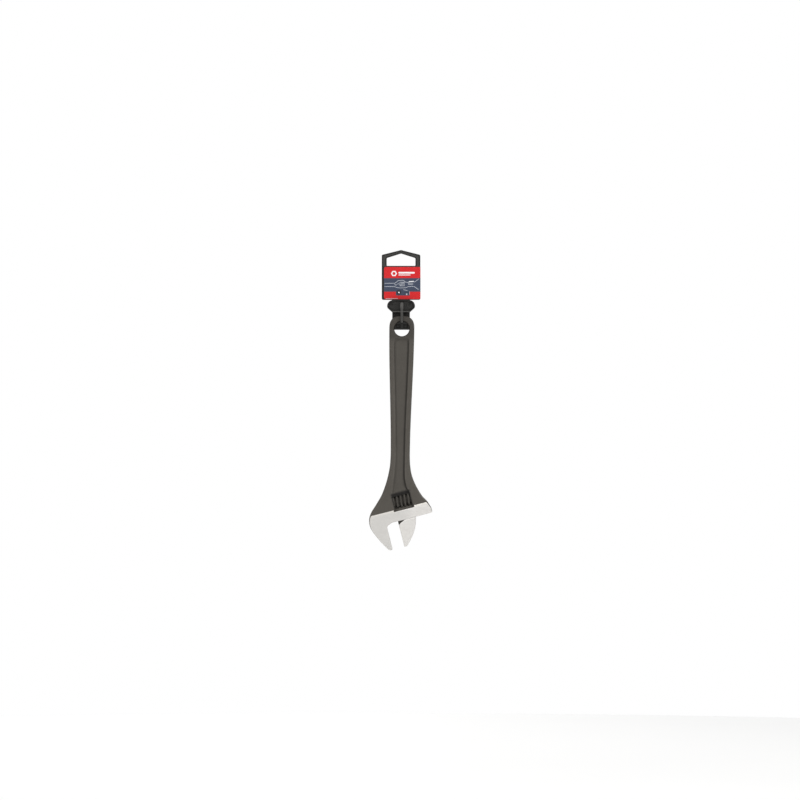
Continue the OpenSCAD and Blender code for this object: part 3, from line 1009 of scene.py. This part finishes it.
def forging_marks(piece):
    """Which faces are ground, where the black coat is rubbed thin, and where shade is painted: at the
    panel's foot, round the hole and window and over the handle's end.
    """
    u, y, w = face_centres(piece, HEAD).T
    in_slot = (abs(y) < SLOT_HALF + 0.05) & (w > 0.02) & (w < SHANK_W) & (u > BORE_START - 0.1)
    in_bore = np.hypot(y, w - SHANK_W) < BORE_R + 0.1
    in_window = (u > WINDOW_U[0] - 0.1) & (u < WINDOW_U[1] + 0.1)
    in_window &= (w > WINDOW_W[0] - 0.1) & (w < WINDOW_W[1] + 3)
    x, y, z = local(piece, WRENCH).T
    p = np.stack([x, z], 1)
    u, w = to_head(p).T
    mark_ground(piece, ground_depth(p, forged_half(p)), in_bore | in_slot | in_window)

    in_panel = signed(p, PANEL)
    shoulder = body_half(z) - 0.9 - abs(y)
    flank = 0.8 * ridge(distance(p, FORGED) - 0.6, 0.7) * ridge(shoulder, 1.1)
    rail = 0.5 * ridge(in_panel + 0.4, 0.5) * smooth((PANEL_TOP_Z - 4 - z) / 8)
    mark(piece, "edge", np.maximum(flank, rail))

    # painted shade: at the foot of the sunk panel's walls (stronger on the right), at the panel's end
    # by the window, over the handle's end, round the hanging hole and round the window, strongest above
    # it
    foot = 0.85 * ridge(in_panel - 1.3, 0.75) * np.where(x > 0, 1.0, 0.35)
    foot = foot * smooth((w - 33) / 6) * smooth((PANEL_TOP_Z - z) / 6)
    foot = foot + 0.10 * smooth((in_panel - 0.8) / 1.2) * smooth((w - 36) / 3)
    foot = foot + 0.40 * smooth((z - HOLE_Z + 18) / 8)
    rim = np.clip(1 - from_hole(p) / 1.6, 0, 1)
    over = np.minimum(u - WINDOW_U[0], WINDOW_U[1] - u)
    above = smooth(1 + over / 1.2) * (w > WINDOW_W[1])
    reach = 1.6 + 4.2 * above
    near = np.maximum(-signed(p, WINDOW), 0)
    by_window = smooth((reach - near) / (0.45 * reach)) * (1 + 0.2 * above)
    mark(piece, "hollow", np.maximum.reduce([foot, rim, by_window]))


# ---------------------------------------------------------------- the sliding jaw and the screw
def sliding_jaw():
    """The jaw with the web and the toothed round shank that run in the head."""
    back_line = curve([(24.2, 0), (22.9, -5.2), (20.4, -12.2), (14.7, -21.9), (7.2, -30.7),
                       (4.2, -33.8)], 6)
    corner = curve([(0, -5.6), (0.25, -5.0), (1.1, -4.3), (3.3, -2.8), (9.3, 0)], 4)
    shape = (corner + back_line + jaw_tip(1))[::-1]
    outline = spaced([(SLIDING_FACE + u, w - 0.1) for u, w in shape], 1.0)

    def half(p):
        return ground_half(p[:, 1]) - turned_edge(distance(p, outline, True), 0.5)

    piece = plate("jaw_blank", outline, lambda p: -half(p), half, HEAD,
                  steps=[(outline, (0.2, 0.5, 1.6))], grain=1.8, rows=3)
    near, far = SLIDING_FACE, SLIDING_FACE + SHANK_L
    web = block("web", (near, -WEB_HALF, WEB_LOW), (near + WEB_L, WEB_HALF, SHANK_W), HEAD)
    stem = block("stem", (near + 0.02, -WEB_HALF - 0.01, -0.08),
                 (far - 0.02, WEB_HALF + 0.01, SHANK_W + 0.02), HEAD)
    root = block("root", (near + WEB_L - 1, -WEB_HALF - 0.02, -1.5),
                 (near + 22, WEB_HALF + 0.02, 2), HEAD)
    shank = bar(SHANK_W, (near, SHANK_R - 0.4), (near + 0.4, SHANK_R), (far - 1, SHANK_R),
                (far, SHANK_R - 1))
    combine(piece, [web, stem, root, shank], "UNION")
    top = WORM_W - WORM_R + THREAD_DEPTH - 0.05
    flat = block("flat", (near - 1, -12, top), (far + 2, 12, top + 9), HEAD)
    combine(piece, [rack_gaps(top), flat], "DIFFERENCE")
    finish_mesh(piece)

    u, y, w = face_centres(piece, HEAD).T
    dark = (abs(y) < SHANK_R + 0.1) & (w > 0.0)
    dark |= (abs(y) < WEB_HALF + 0.05) & (w > WEB_LOW - 0.05) & (u < near + WEB_L)
    u, y, w = local(piece, HEAD).T
    mark_ground(piece, np.where(w < 0, JAW_GROUND, NOT_GROUND), dark)
    mark(piece, "edge", 0.6 * np.clip((w - top + 1.2) / 1.0, 0, 1) * (w > 0))
    # painted shade on the recessed web below the jaw
    mark(piece, "hollow", 0.75 * (w < -0.2) * (abs(y) < WEB_HALF + 0.05))
    return piece


def rack_gaps(top):
    """The gaps between the rack's teeth, in one solid; top is the height of the teeth."""
    root = SHANK_W + 3.06
    wedge = [(-1.1, root), (1.1, root), (1.83, top + 1.1), (-1.83, top + 1.1)]
    gap = new_object("gap", [(u, y, w) for y in (-15, 15) for u, w in wedge],
                     [(0, 1, 2, 3), (7, 6, 5, 4), (0, 4, 5, 1), (1, 5, 6, 2), (2, 6, 7, 3),
                      (3, 7, 4, 0)])
    outward(gap)
    first = THREAD_U - PITCH * math.ceil((THREAD_U - SLIDING_FACE) / PITCH)
    count = math.ceil((SLIDING_FACE + SHANK_L + PITCH - first) / PITCH)
    lead = math.atan(PITCH / (math.pi * (2 * WORM_R - 2.5)))
    gaps = grown("rack_gaps", {"Count": count, "First": first, "Pitch": PITCH, "Lead angle": -lead},
                 row_rule(gap), STEEL, HEAD)
    bpy.data.objects.remove(gap)
    return outward(gaps)


def worm_screw():
    """The knurled worm, bored for its pin and counterbored for its spring."""
    start, end = WINDOW_U[0] + WORM_GAP, WINDOW_U[1] - WORM_GAP
    bevel = 0.35
    sizes = {"Pitch": PITCH, "Length": end - start, "Core radius": WORM_R - THREAD_DEPTH,
             "Outer radius": WORM_R, "Crest": 2.0, "Root": 3.0, "Bevel": bevel,
             "Crest at": (THREAD_U - start + PITCH / 2) % PITCH,
             "Notches": 36, "Notch depth": 0.55, "Rows per mm": 4}
    piece = grown("worm_screw", sizes, thread_rule, OXIDE,
                  HEAD @ Matrix.Translation((start, 0, WORM_W)))
    outward(piece)
    bore_r, mouth_r = PIN_R + FIT, PIN_R + 0.36
    room_r, room_end = SPRING_ROOM_R, start + SPRING_ROOM_L
    bore = bar(WORM_W, (start - 2, room_r + bevel), (start, room_r + bevel), (start + bevel, room_r),
               (room_end, room_r), (room_end, bore_r), (end - 0.3, bore_r), (end, mouth_r),
               (end + 2, mouth_r))
    combine(piece, [bore], "DIFFERENCE")
    finish_mesh(piece, 28)
    y, w = local(piece, HEAD)[:, 1:].T
    depth = WORM_R - np.hypot(y, w - WORM_W)
    # crest: lightened crests, partly wear and partly painted highlight
    mark(piece, "crest", np.clip((0.7 - depth) / 0.6, 0, 1))
    mark(piece, "edge", 0.5 * np.clip(1 - depth / 0.2, 0, 1))
    # painted shade in the thread's roots
    mark(piece, "hollow", 0.85 * np.clip((depth - 1.1) / 1.4, 0, 1))
    return piece


def worm_spring():
    """The small spring that presses the worm along its pin."""
    wire_r = 0.4
    sizes = {"Turns": 4.5, "Radius": 3.4, "Wire radius": wire_r, "Length": 5.4}
    start = Matrix.Translation((WINDOW_U[0] + wire_r, 0, WORM_W))
    piece = grown("worm_return_spring", sizes, coil_rule, DRAWN,
                  HEAD @ start @ Matrix.Rotation(math.pi / 2, 4, "Y"))
    return finish_mesh(outward(piece), 40)


def worm_pin():
    """The slotted pin that the worm turns on."""
    tip, end = PIN_U
    profile = [(tip, 0), (tip, PIN_R - 0.6), (tip + 0.6, PIN_R), (PIN_HEAD_U, PIN_R),
               (PIN_HEAD_U + 0.05, PIN_HEAD_R - 0.3), (PIN_HEAD_U + 0.35, PIN_HEAD_R),
               (end - 0.6, PIN_HEAD_R), (end - 0.15, PIN_HEAD_R - 0.45), (end, PIN_HEAD_R - 1),
               (end, 0)]
    piece = revolved("worm_pin_screw", profile, HEAD @ Matrix.Translation((0, 0, WORM_W)), 72)
    half, deep = 0.55, 1.6
    slot = block("slot", (end - deep, -half, WORM_W - 6), (end + 2, half, WORM_W + 6), HEAD)
    combine(piece, [slot], "DIFFERENCE")
    return finish_mesh(piece, 30)


# ---------------------------------------------------------------- the hanger
# In the hanger's frame z is measured up from the axis of the hanging hole.
GRIP_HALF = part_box("hanger_plate")[1].y / MM
GRIP_IN = 5.5
GRIP_LOW = 21.5
PLATE_HALF = 1.0
PANEL_X = 25.1
PANEL_LOW = 37.6
PANEL_TOP = 102.5
EAVES_Z = 96.2
OPENING_Z = (81.9, 92.0, 97.9)
FRAME_BAR = 6.4
HOLE_X = PIVOT.x / MM
NECK_X = 11.5
NECK_RIB_X = 5.5
LOBE_X = 18.1
LOBE_Z = (27.4, 37.2)
SEAT_X = 10.6
SEAT_Z = 38.1
PLUG_R = HOLE_R - 0.3
PLUG_FLAT = -1.3
POCKET_X = 4.9
POCKET_HALF = 3.1
STRAP_HALF = 2.31
STRAP_FOOT = 1.75
STRAP_LOW = 7.5
STRAP_HIGH = 34.3
EAR = (11.6, 31.9)
EAR_RING_R = 4.3
RIM_ROWS = (0.3, 0.7, 1.1, 1.7, 2.4, 3.0)


def both_halves(corners):
    """A closed outline from the (x, z, radius) corners of its right half, from bottom to top."""
    return corners + [(-x, z, r) for x, z, r in reversed(corners) if x > 0]


BOARD = rounded(both_halves([(PANEL_X, PANEL_LOW, 2), (PANEL_X, EAVES_Z, 2), (0, PANEL_TOP, 3)]))
BAR_X = PANEL_X - FRAME_BAR
OPENING = rounded(both_halves([(BAR_X, OPENING_Z[0], 1), (BAR_X, OPENING_Z[1], 1.5),
                               (0, OPENING_Z[2], 2)]))
LOBES = rounded(both_halves([(NECK_X, GRIP_LOW, 0.6), (LOBE_X, LOBE_Z[0], 4), (LOBE_X, LOBE_Z[1], 7.5),
                             (SEAT_X, LOBE_Z[1], 1.5), (SEAT_X, SEAT_Z, 0)]), 8)


def from_ear(p):
    """How far points lie from the boss of the nearer ear."""
    return np.hypot(abs(p[:, 0]) - EAR[0], p[:, 1] - EAR[1])


def lobe_half(p, outline):
    """How far a lobe's face stands from the middle: a raised rim round a dished ear, with a boss."""
    d = distance(p, outline, True)
    ear = from_ear(p)
    rim = GRIP_HALF - turned_edge(d, 1.1)
    dish = 1.9 * smooth((d - 1.7) / 1.3)
    boss = 1.0 * smooth((1.5 - ear) / 0.5) - 0.7 * smooth((0.8 - ear) / 0.3)
    rib = 0.45 * smooth((0.7 - abs(ear - EAR_RING_R)) / 0.5) * smooth((p[:, 1] - 27.5) / 1.5)
    return np.minimum(rim - dish + boss + rib, rim)


def ear_rings():
    """Rows of points round the bosses of both ears."""
    return [np.array(ring(side * EAR[0], EAR[1], r, 28) + [(side * EAR[0] + r, EAR[1])])
            for side in (-1, 1) for r in (0.5, 0.8, 1.0, 1.5, 3.6, EAR_RING_R, 5.0)]


def hanger_plate():
    """The board with its hook opening, the rear half of the lobes, the neck and the plug."""
    outline, opening = spaced(BOARD, 1.6), spaced(OPENING, 1.6)

    def board_half(p):
        rim = np.minimum(distance(p, outline, True), distance(p, opening, True))
        groove = smooth((rim - 1.5) / 0.7) * smooth((p[:, 1] - OPENING_Z[0] + 1) / 0.6)
        return PLATE_HALF - turned_edge(rim, 0.5) - 0.38 * groove

    board = plate("hanger_board", outline, lambda p: -board_half(p), board_half, HANGER,
                  holes=[opening], steps=[(outline, (0.22, 0.5, 1.5, 2.2)),
                                          (opening, (-0.22, -0.5, -1.5, -2.2))], grain=1.8)
    ears = spaced(LOBES, 1.0)
    rear = plate("ears_rear", ears, level(0), lambda p: lobe_half(p, ears), HANGER,
                 steps=[(ears, RIM_ROWS)], lines=ear_rings(), grain=1.0, rows=3)
    combine(board, [rear, hanger_neck(), hanger_plug()], "UNION")
    board.name = "hanger_moulding"
    return plastic_marks(finish_mesh(board))


def hanger_neck():
    """The ribbed neck behind the handle's end."""
    outline = spaced(rounded(both_halves([(NECK_X, PLUG_FLAT + 0.02, 0.8), (NECK_X, GRIP_LOW + 1, 0)])),
                     1.4)

    def front(p):
        return GRIP_IN + turned_edge(NECK_X - abs(p[:, 0]), 0.3)

    def back(p):
        side = NECK_X - abs(p[:, 0])
        ribs = 0.4 * smooth((1.1 - abs(abs(p[:, 0]) - NECK_RIB_X)) / 0.5)
        return GRIP_HALF - 0.05 - turned_edge(side, 0.8) - 0.6 * smooth((side - 1.4) / 0.6) + ribs

    return plate("neck", outline, front, back, HANGER, steps=[(outline, (0.3, 0.8, 1.4, 2.0))],
                 grain=1.2)


def hanger_plug():
    """The plug in the upper half of the hanging hole, with a pocket on each side."""
    tilt = math.asin(PLUG_FLAT / PLUG_R)
    outline = spaced([(HOLE_X + PLUG_R * math.cos(a), PLUG_R * math.sin(a))
                      for a in np.linspace(tilt, math.pi - tilt, 64)], 1.0)
    low, high = 0.8, 5.6

    def front(p):
        across = POCKET_HALF - abs(abs(p[:, 0] - HOLE_X) - POCKET_X)
        up = (high - low) / 2 - abs(p[:, 1] - (high + low) / 2)
        pocket = 2.2 * smooth(np.minimum(across, up) / 0.7)
        return -HANDLE_HALF + turned_edge(distance(p, outline, True), 0.6) + pocket

    steps = [(outline, (0.25, 0.6))]
    for x in (HOLE_X - POCKET_X, HOLE_X + POCKET_X):
        left, right = x - POCKET_HALF, x + POCKET_HALF
        pocket = spaced([(left, low), (right, low), (right, high), (left, high)], 0.6)
        steps.append((pocket, (0.0, 0.35, 0.7)))
    return plate("plug", outline, front, level(GRIP_HALF - 0.15), HANGER, steps=steps, grain=0.75,
                 rows=5)


def hanger_clip():
    """The front half of the lobes, and the strap whose foot hooks into the hanging hole."""
    ears = spaced(LOBES, 0.9)
    right = [(STRAP_FOOT, STRAP_LOW, 0.4), (STRAP_FOOT, 22.0, 4), (STRAP_HALF, 28.0, 4),
             (STRAP_HALF, STRAP_HIGH, 2.2)]
    lug = spaced([(HOLE_X + x, z) for x, z in rounded(both_halves(right))], 0.9)

    def front(p):
        lip = 0.5 * smooth((0.55 - abs(p[:, 1] - GRIP_LOW - 0.9)) / 0.3)
        return -np.minimum(lobe_half(p, ears) + lip, GRIP_HALF)

    def rear(p):
        return np.where(p[:, 1] > PANEL_LOW - 0.05, -PLATE_HALF - 0.02, -0.02)

    def strap_front(p):
        rib = 0.35 * smooth((0.9 - abs(p[:, 0] - HOLE_X)) / 0.4) * (p[:, 1] < 31)
        return -GRIP_HALF - 1.0 + turned_edge(distance(p, lug, True), 0.95) + rib

    step_rows = [[(x, PANEL_LOW - by) for x in np.arange(-10.5, 10.6, 1.0)] for by in (0.04, 0.06)]
    piece = plate("hanger_front_clip", ears, front, rear, HANGER, steps=[(ears, RIM_ROWS)],
                  lines=ear_rings() + step_rows, grain=0.9, rows=4)
    strap = plate("strap", lug, strap_front, level(-GRIP_IN), HANGER,
                  steps=[(lug, (0.3, 0.6, 0.95, 1.4))], grain=0.7, rows=2)
    hook = block("hook", (HOLE_X - STRAP_FOOT + 0.05, -GRIP_IN - 0.5, STRAP_LOW + 0.05),
                 (HOLE_X + STRAP_FOOT - 0.05, -HANDLE_HALF, STRAP_LOW + 1.8), HANGER)
    combine(piece, [strap, hook], "UNION")
    return plastic_marks(finish_mesh(piece))


def plastic_marks(piece):
    """Where highlights are painted along the moulding's raised ribs, and shade in its pockets and along
    its rims.
    """
    x, y, z = local(piece, HANGER).T
    p = np.stack([x, z], 1)
    out = abs(y)
    on_board = z > PANEL_LOW + 0.7
    on_lobes = (z < PANEL_LOW) & (out > 1.0)
    rim = np.minimum(distance(p, BOARD, True), distance(p, OPENING, True))
    # painted highlights: the board above the label away from its rims, the strap, the lobes' lower lip
    # and the ear rings are marked lighter; the neck is lifted slightly
    board = 0.40 * smooth((rim - 1.3) / 0.8) * on_board * (z > LABEL_HIGH)
    strap = (out > GRIP_HALF + 0.35) * smooth((STRAP_HALF - abs(x - HOLE_X)) / 0.6)
    strap = strap * (0.55 + 0.35 * smooth((z - 24) / 6))
    lip = ridge(z - GRIP_LOW - 0.6, 0.55) * (out > GRIP_IN)
    neck = 0.06 * (z < GRIP_LOW)
    ear = from_ear(p)
    rings = 0.16 * (ridge(ear - EAR_RING_R, 0.6) + ridge(ear - 1.2, 0.5)) * on_lobes
    mark(piece, "edge", np.maximum.reduce([board, strap, lip, neck, rings]))

    # painted shade: the plug, a band along the board's rims and the lobes' rolled edges are marked
    # darker
    plug = 0.6 * ((np.hypot(x - HOLE_X, z) < PLUG_R + 0.1) & (z < 11) & (out < 5.2))
    border = 0.5 * (on_board & (rim < 1.0))
    rolled = 0.7 * smooth((1.6 - distance(p, LOBES, True)) / 0.9) * on_lobes * (z > GRIP_LOW + 1.5)
    mark(piece, "hollow", np.maximum.reduce([plug, border, rolled]))
    return piece


# ---------------------------------------------------------------- the printed label
LABEL_T = 0.2
LABEL_LOW = 38.5
LABEL_HIGH = 80.5
LABEL_LEFT = -22.2
LABEL_RIGHT = size_of("wrap_label").x + LABEL_LEFT
LABEL_CORNER_R = 2.5
FOLD_R = PLATE_HALF + LABEL_T
FOLD_X = LABEL_RIGHT - FOLD_R
FOLD_L = math.pi * (PLATE_HALF + LABEL_T / 2)
BAND_Z = (48.2, 65.9)
DRAWN_W = 0.55


def stroke(points, width):
    """A drawn line as a closed shape of the given width."""
    p = np.array(points, float)
    t = np.gradient(p, axis=0)
    t /= np.linalg.norm(t, axis=1, keepdims=True)
    side = np.stack([-t[:, 1], t[:, 0]], 1) * width / 2
    return [tuple(q) for q in np.concatenate([p - side, (p + side)[::-1]])]


def pill(x0, x1, z, height):
    """A bar with round ends."""
    low, high, r = z - height / 2, z + height / 2, height / 2.1
    return rounded([(x0, low, r), (x1, low, r), (x1, high, r), (x0, high, r)])


def label_art():
    """(ink, closed shape) in the order of printing, on the flat sheet."""
    left, right = LABEL_LEFT - 1, LABEL_RIGHT + 60
    art = [("slate", [(left, BAND_Z[0]), (right, BAND_Z[0]), (right, BAND_Z[1]), (left, BAND_Z[1])])]
    return art + nut_and_bars() + wrench_drawing() + small_pictures() + back_panel()


def nut_and_bars():
    """A nut and two bars, where a maker would put a sign and a name."""
    nut = (-9.2, 71.9)
    return [("white", ring(*nut, 3.9, 6)), ("red", ring(*nut, 2.0, 24)),
            ("white", pill(-3.4, 17.8, 72.9, 2.2)), ("white", pill(-3.4, 12.2, 70.0, 1.1))]


def wrench_drawing():
    """A line drawing of the tool's neck and screw on the slate band."""
    flanks = [[(-21.6, 59.2), (-9.5, 59.2), (-6.6, 60.2), (-3.4, 62.6), (3.0, 62.9), (5.4, 61.0),
               (8.2, 60.3), (13.6, 61.2), (17.8, 61.0), (20.0, 62.6), (23.2, 65.0)],
              [(-21.6, 54.9), (-9.6, 54.9), (-6.6, 54.1), (-2.4, 53.2), (5.6, 53.4), (9.2, 54.6),
               (15.6, 55.2), (18.6, 53.8), (22.8, 50.9)]]
    frames = [[(-1.6, 60.6), (-1.6, 55.8), (4.4, 55.8), (4.4, 60.6), (-1.2, 60.6)],
              [(9.4, 59.3), (15.4, 59.3), (15.4, 57.6), (9.4, 57.6), (9.4, 58.9)]]
    art = [("pale", stroke(curve(line, 5), DRAWN_W)) for line in flanks]
    art += [("pale", stroke(line, DRAWN_W)) for line in frames]
    art += [("pale", stroke([(x, 56.2), (x + 0.9, 60.2)], 0.5)) for x in (-0.6, 0.9, 2.4)]
    return art + [("pale", stroke([(-4.8, 57.6), (-3.6, 59.4), (-2.6, 57.4)], 0.5)),
                  ("white", stroke([(10.2, 61.4), (16.6, 61.9)], 0.9)),
                  ("pale", stroke([(-8.6, 57.1), (-5.6, 57.1)], 0.7))]


def small_pictures():
    """Two plain pictures on a slate block under the band, and a thin line at the label's foot."""
    block_line = [(-6.8, 43.2, 1.4), (11.2, 43.2, 0.6), (11.2, 49.0, 0.3), (-6.8, 49.0, 0.3)]
    return [("slate", rounded(block_line)), ("dark", ring(-2.9, 47.5, 3.2, 32)),
            ("white", ring(-2.8, 47.2, 1.0, 6)), ("pale", stroke([(11.0, 48.6), (11.0, 44.2)], 0.4)),
            ("pale", ring(7.3, 44.9, 1.1, 6)), ("dark", stroke([(3.6, 47.6), (9.8, 47.0)], 0.6)),
            ("pale", stroke([(3.0, 50.9), (8.4, 49.6)], 0.5)),
            ("pale", stroke([(-20.0, 39.3), (-4.2, 39.3)], 0.5))]


def back_panel():
    """A white panel with three lines, which comes to lie on the back."""
    x = 2 * FOLD_X + FOLD_L
    lines = [("slate", stroke([(x - 17, z), (x + 11, z)], 0.7)) for z in (60.6, 57.5, 54.4)]
    return [("white", pill(x - 20, x + 14, 57.5, 12.0))] + lines


def folded(flat):
    """The sheet's points, in metres, once it is bent round the board's right edge."""
    s, depth, z = flat.T
    angle = np.clip((s - FOLD_X) / FOLD_L, 0, 1) * math.pi
    radius = FOLD_R - depth
    past = np.maximum(s - FOLD_X - FOLD_L, 0)
    x = np.where(s < FOLD_X, s, FOLD_X + radius * np.sin(angle) - past)
    y = -radius * np.cos(angle)
    m = np.array(HANGER)
    return np.stack([x, y, z], 1) @ m[:3, :3].T + m[:3, 3]


def wrap_label():
    """The label is cut and printed flat, then folded round the board's right edge."""
    far, r = 2 * FOLD_X + FOLD_L - LABEL_LEFT, LABEL_CORNER_R
    sheet = spaced(rounded([(LABEL_LEFT, LABEL_LOW, r), (far, LABEL_LOW, r), (far, LABEL_HIGH, r),
                            (LABEL_LEFT, LABEL_HIGH, r)], 6), 1.6)
    art = label_art()
    lines = [np.concatenate([spaced(shape, 1.2), [shape[0]]]) for ink, shape in art]
    for s in np.linspace(FOLD_X, FOLD_X + FOLD_L, 9):
        lines.append(np.array([(s, z) for z in np.arange(LABEL_LOW, LABEL_HIGH + 1, 1.6)]))
    flat_frame = Matrix.Identity(4)
    piece = plate("printed_label", sheet, level(0), level(LABEL_T), flat_frame,
                  steps=[(sheet, (0.4,))], lines=lines, grain=2.2)
    flat = local(piece, flat_frame)
    s, depth, z = face_centres(piece, flat_frame).T
    ink = np.full(len(s), INK_NUMBER["red"])
    for name, shape in art:
        ink[inside(np.stack([s, z], 1), shape)] = INK_NUMBER[name]
    ink[depth > LABEL_T * 0.9] = INK_NUMBER["white"]
    mark(piece, "ink", ink, "FACE")
    mark(piece, "edge", ridge(distance(flat[:, [0, 2]], sheet, True), 0.3))
    piece.data.vertices.foreach_set("co", folded(flat).ravel())
    shade(piece, 40)
    return piece


# ---------------------------------------------------------------- the pieces on their bodies
PIECES = (
    (wrench_body, "wrench", "wrench_body", "black_forged_steel", STEEL),
    (sliding_jaw, "jaw", "sliding_jaw", "ground_steel", STEEL),
    (worm_screw, "worm", "worm_knurl", "black_turned_steel", OXIDE),
    (worm_pin, "wrench", "worm_pin", "spring_steel", DRAWN),
    (worm_spring, "wrench", "worm_spring", "spring_steel", DRAWN),
    (hanger_plate, "hanger", "hanger_plate", "black_plastic", PLASTIC),
    (hanger_clip, "hanger", "hanger_clip", "black_plastic", PLASTIC),
    (wrap_label, "hanger", "wrap_label", "printed_label", CARD),
)
for make, body, node, slot_name, finish in PIECES:
    piece = make()
    piece.data.materials.clear()
    piece.data.materials.append(finish)
    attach(piece, body)
    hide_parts(node)


# ---------------------------------------------------------------- floor, light and camera
FLOOR_R = 2.2
FLOOR_Z = -0.75
VIEW_MIDDLE = Vector((-1.38, 0, -186.85)) * MM
VIEW_DISTANCE = 5.79


def pale_floor():
    """A round pale floor with a softly rolled edge, well below the hanging wrench."""
    profile = [(0, 0), (0.5, 0), (1.0, 0), (1.5, 0), (FLOOR_R, 0), (FLOOR_R + 0.02, -0.005),
               (FLOOR_R + 0.03, -0.02)]
    vertices, faces, sides = [], [], 96
    for r, z in profile:
        vertices += [(x, y, FLOOR_Z + z) for x, y in ring(0, 0, r, sides)]
    for k in range(0, (len(profile) - 1) * sides, sides):
        for i in range(sides):
            j = (i + 1) % sides
            faces.append((k + i, k + sides + i, k + sides + j, k + j))
    floor = outward(new_object("floor", vertices, faces))
    made, net = material("pale floor")
    tone = net.mix(net.noise(3), (0.955, 0.955, 0.95), (0.975, 0.975, 0.97))
    surface(net, Base_Color=tone, Roughness=0.85 + net.noise(60) * 0.1)
    floor.data.materials.append(made)
    shade(floor, 180)
    return floor


def softbox(name, place, size, power):
    """A round soft light that faces the middle of the view."""
    data = bpy.data.lights.new(name, "AREA")
    data.shape = "DISK"
    data.size = size
    data.energy = power
    light = bpy.data.objects.new(name, data)
    bpy.context.scene.collection.objects.link(light)
    light.location = place
    light.rotation_euler = (VIEW_MIDDLE - Vector(place)).to_track_quat("-Z", "Y").to_euler()
    light.visible_camera = False


def studio():
    """A white room with three softboxes, and the camera straight in front."""
    world = bpy.data.worlds.new("white studio")
    bpy.context.scene.world = world
    world.use_nodes = True
    world.node_tree.nodes.clear()
    net = Net(world.node_tree)
    seen = net.node("ShaderNodeLightPath", out="Is Camera Ray")
    up = net.part(net.node("ShaderNodeTexCoord", out="Generated"), "Z")
    fill = 0.60 + up * 0.25
    shine = net.node("ShaderNodeBackground", Color=(1, 1, 1), Strength=seen + (1 - seen) * fill)
    net.node("ShaderNodeOutputWorld", Surface=shine)
    softbox("front softbox", (-0.3, -2.6, 0.9), 2.4, 22)
    softbox("key softbox", (1.9, -1.5, 1.3), 1.1, 20)
    softbox("rear softbox", (-1.2, 2.6, 1.1), 2.4, 22)
    data = bpy.data.cameras.new("camera")
    data.lens = 200
    data.sensor_width = 36
    data.clip_start = 0.1
    data.clip_end = 60
    camera = bpy.data.objects.new("camera", data)
    bpy.context.scene.collection.objects.link(camera)
    camera.location = VIEW_MIDDLE - BACK * VIEW_DISTANCE
    camera.rotation_euler = (math.pi / 2, 0, 0)
    bpy.context.scene.camera = camera
    bpy.context.scene.view_settings.view_transform = "Standard"


pale_floor()
studio()
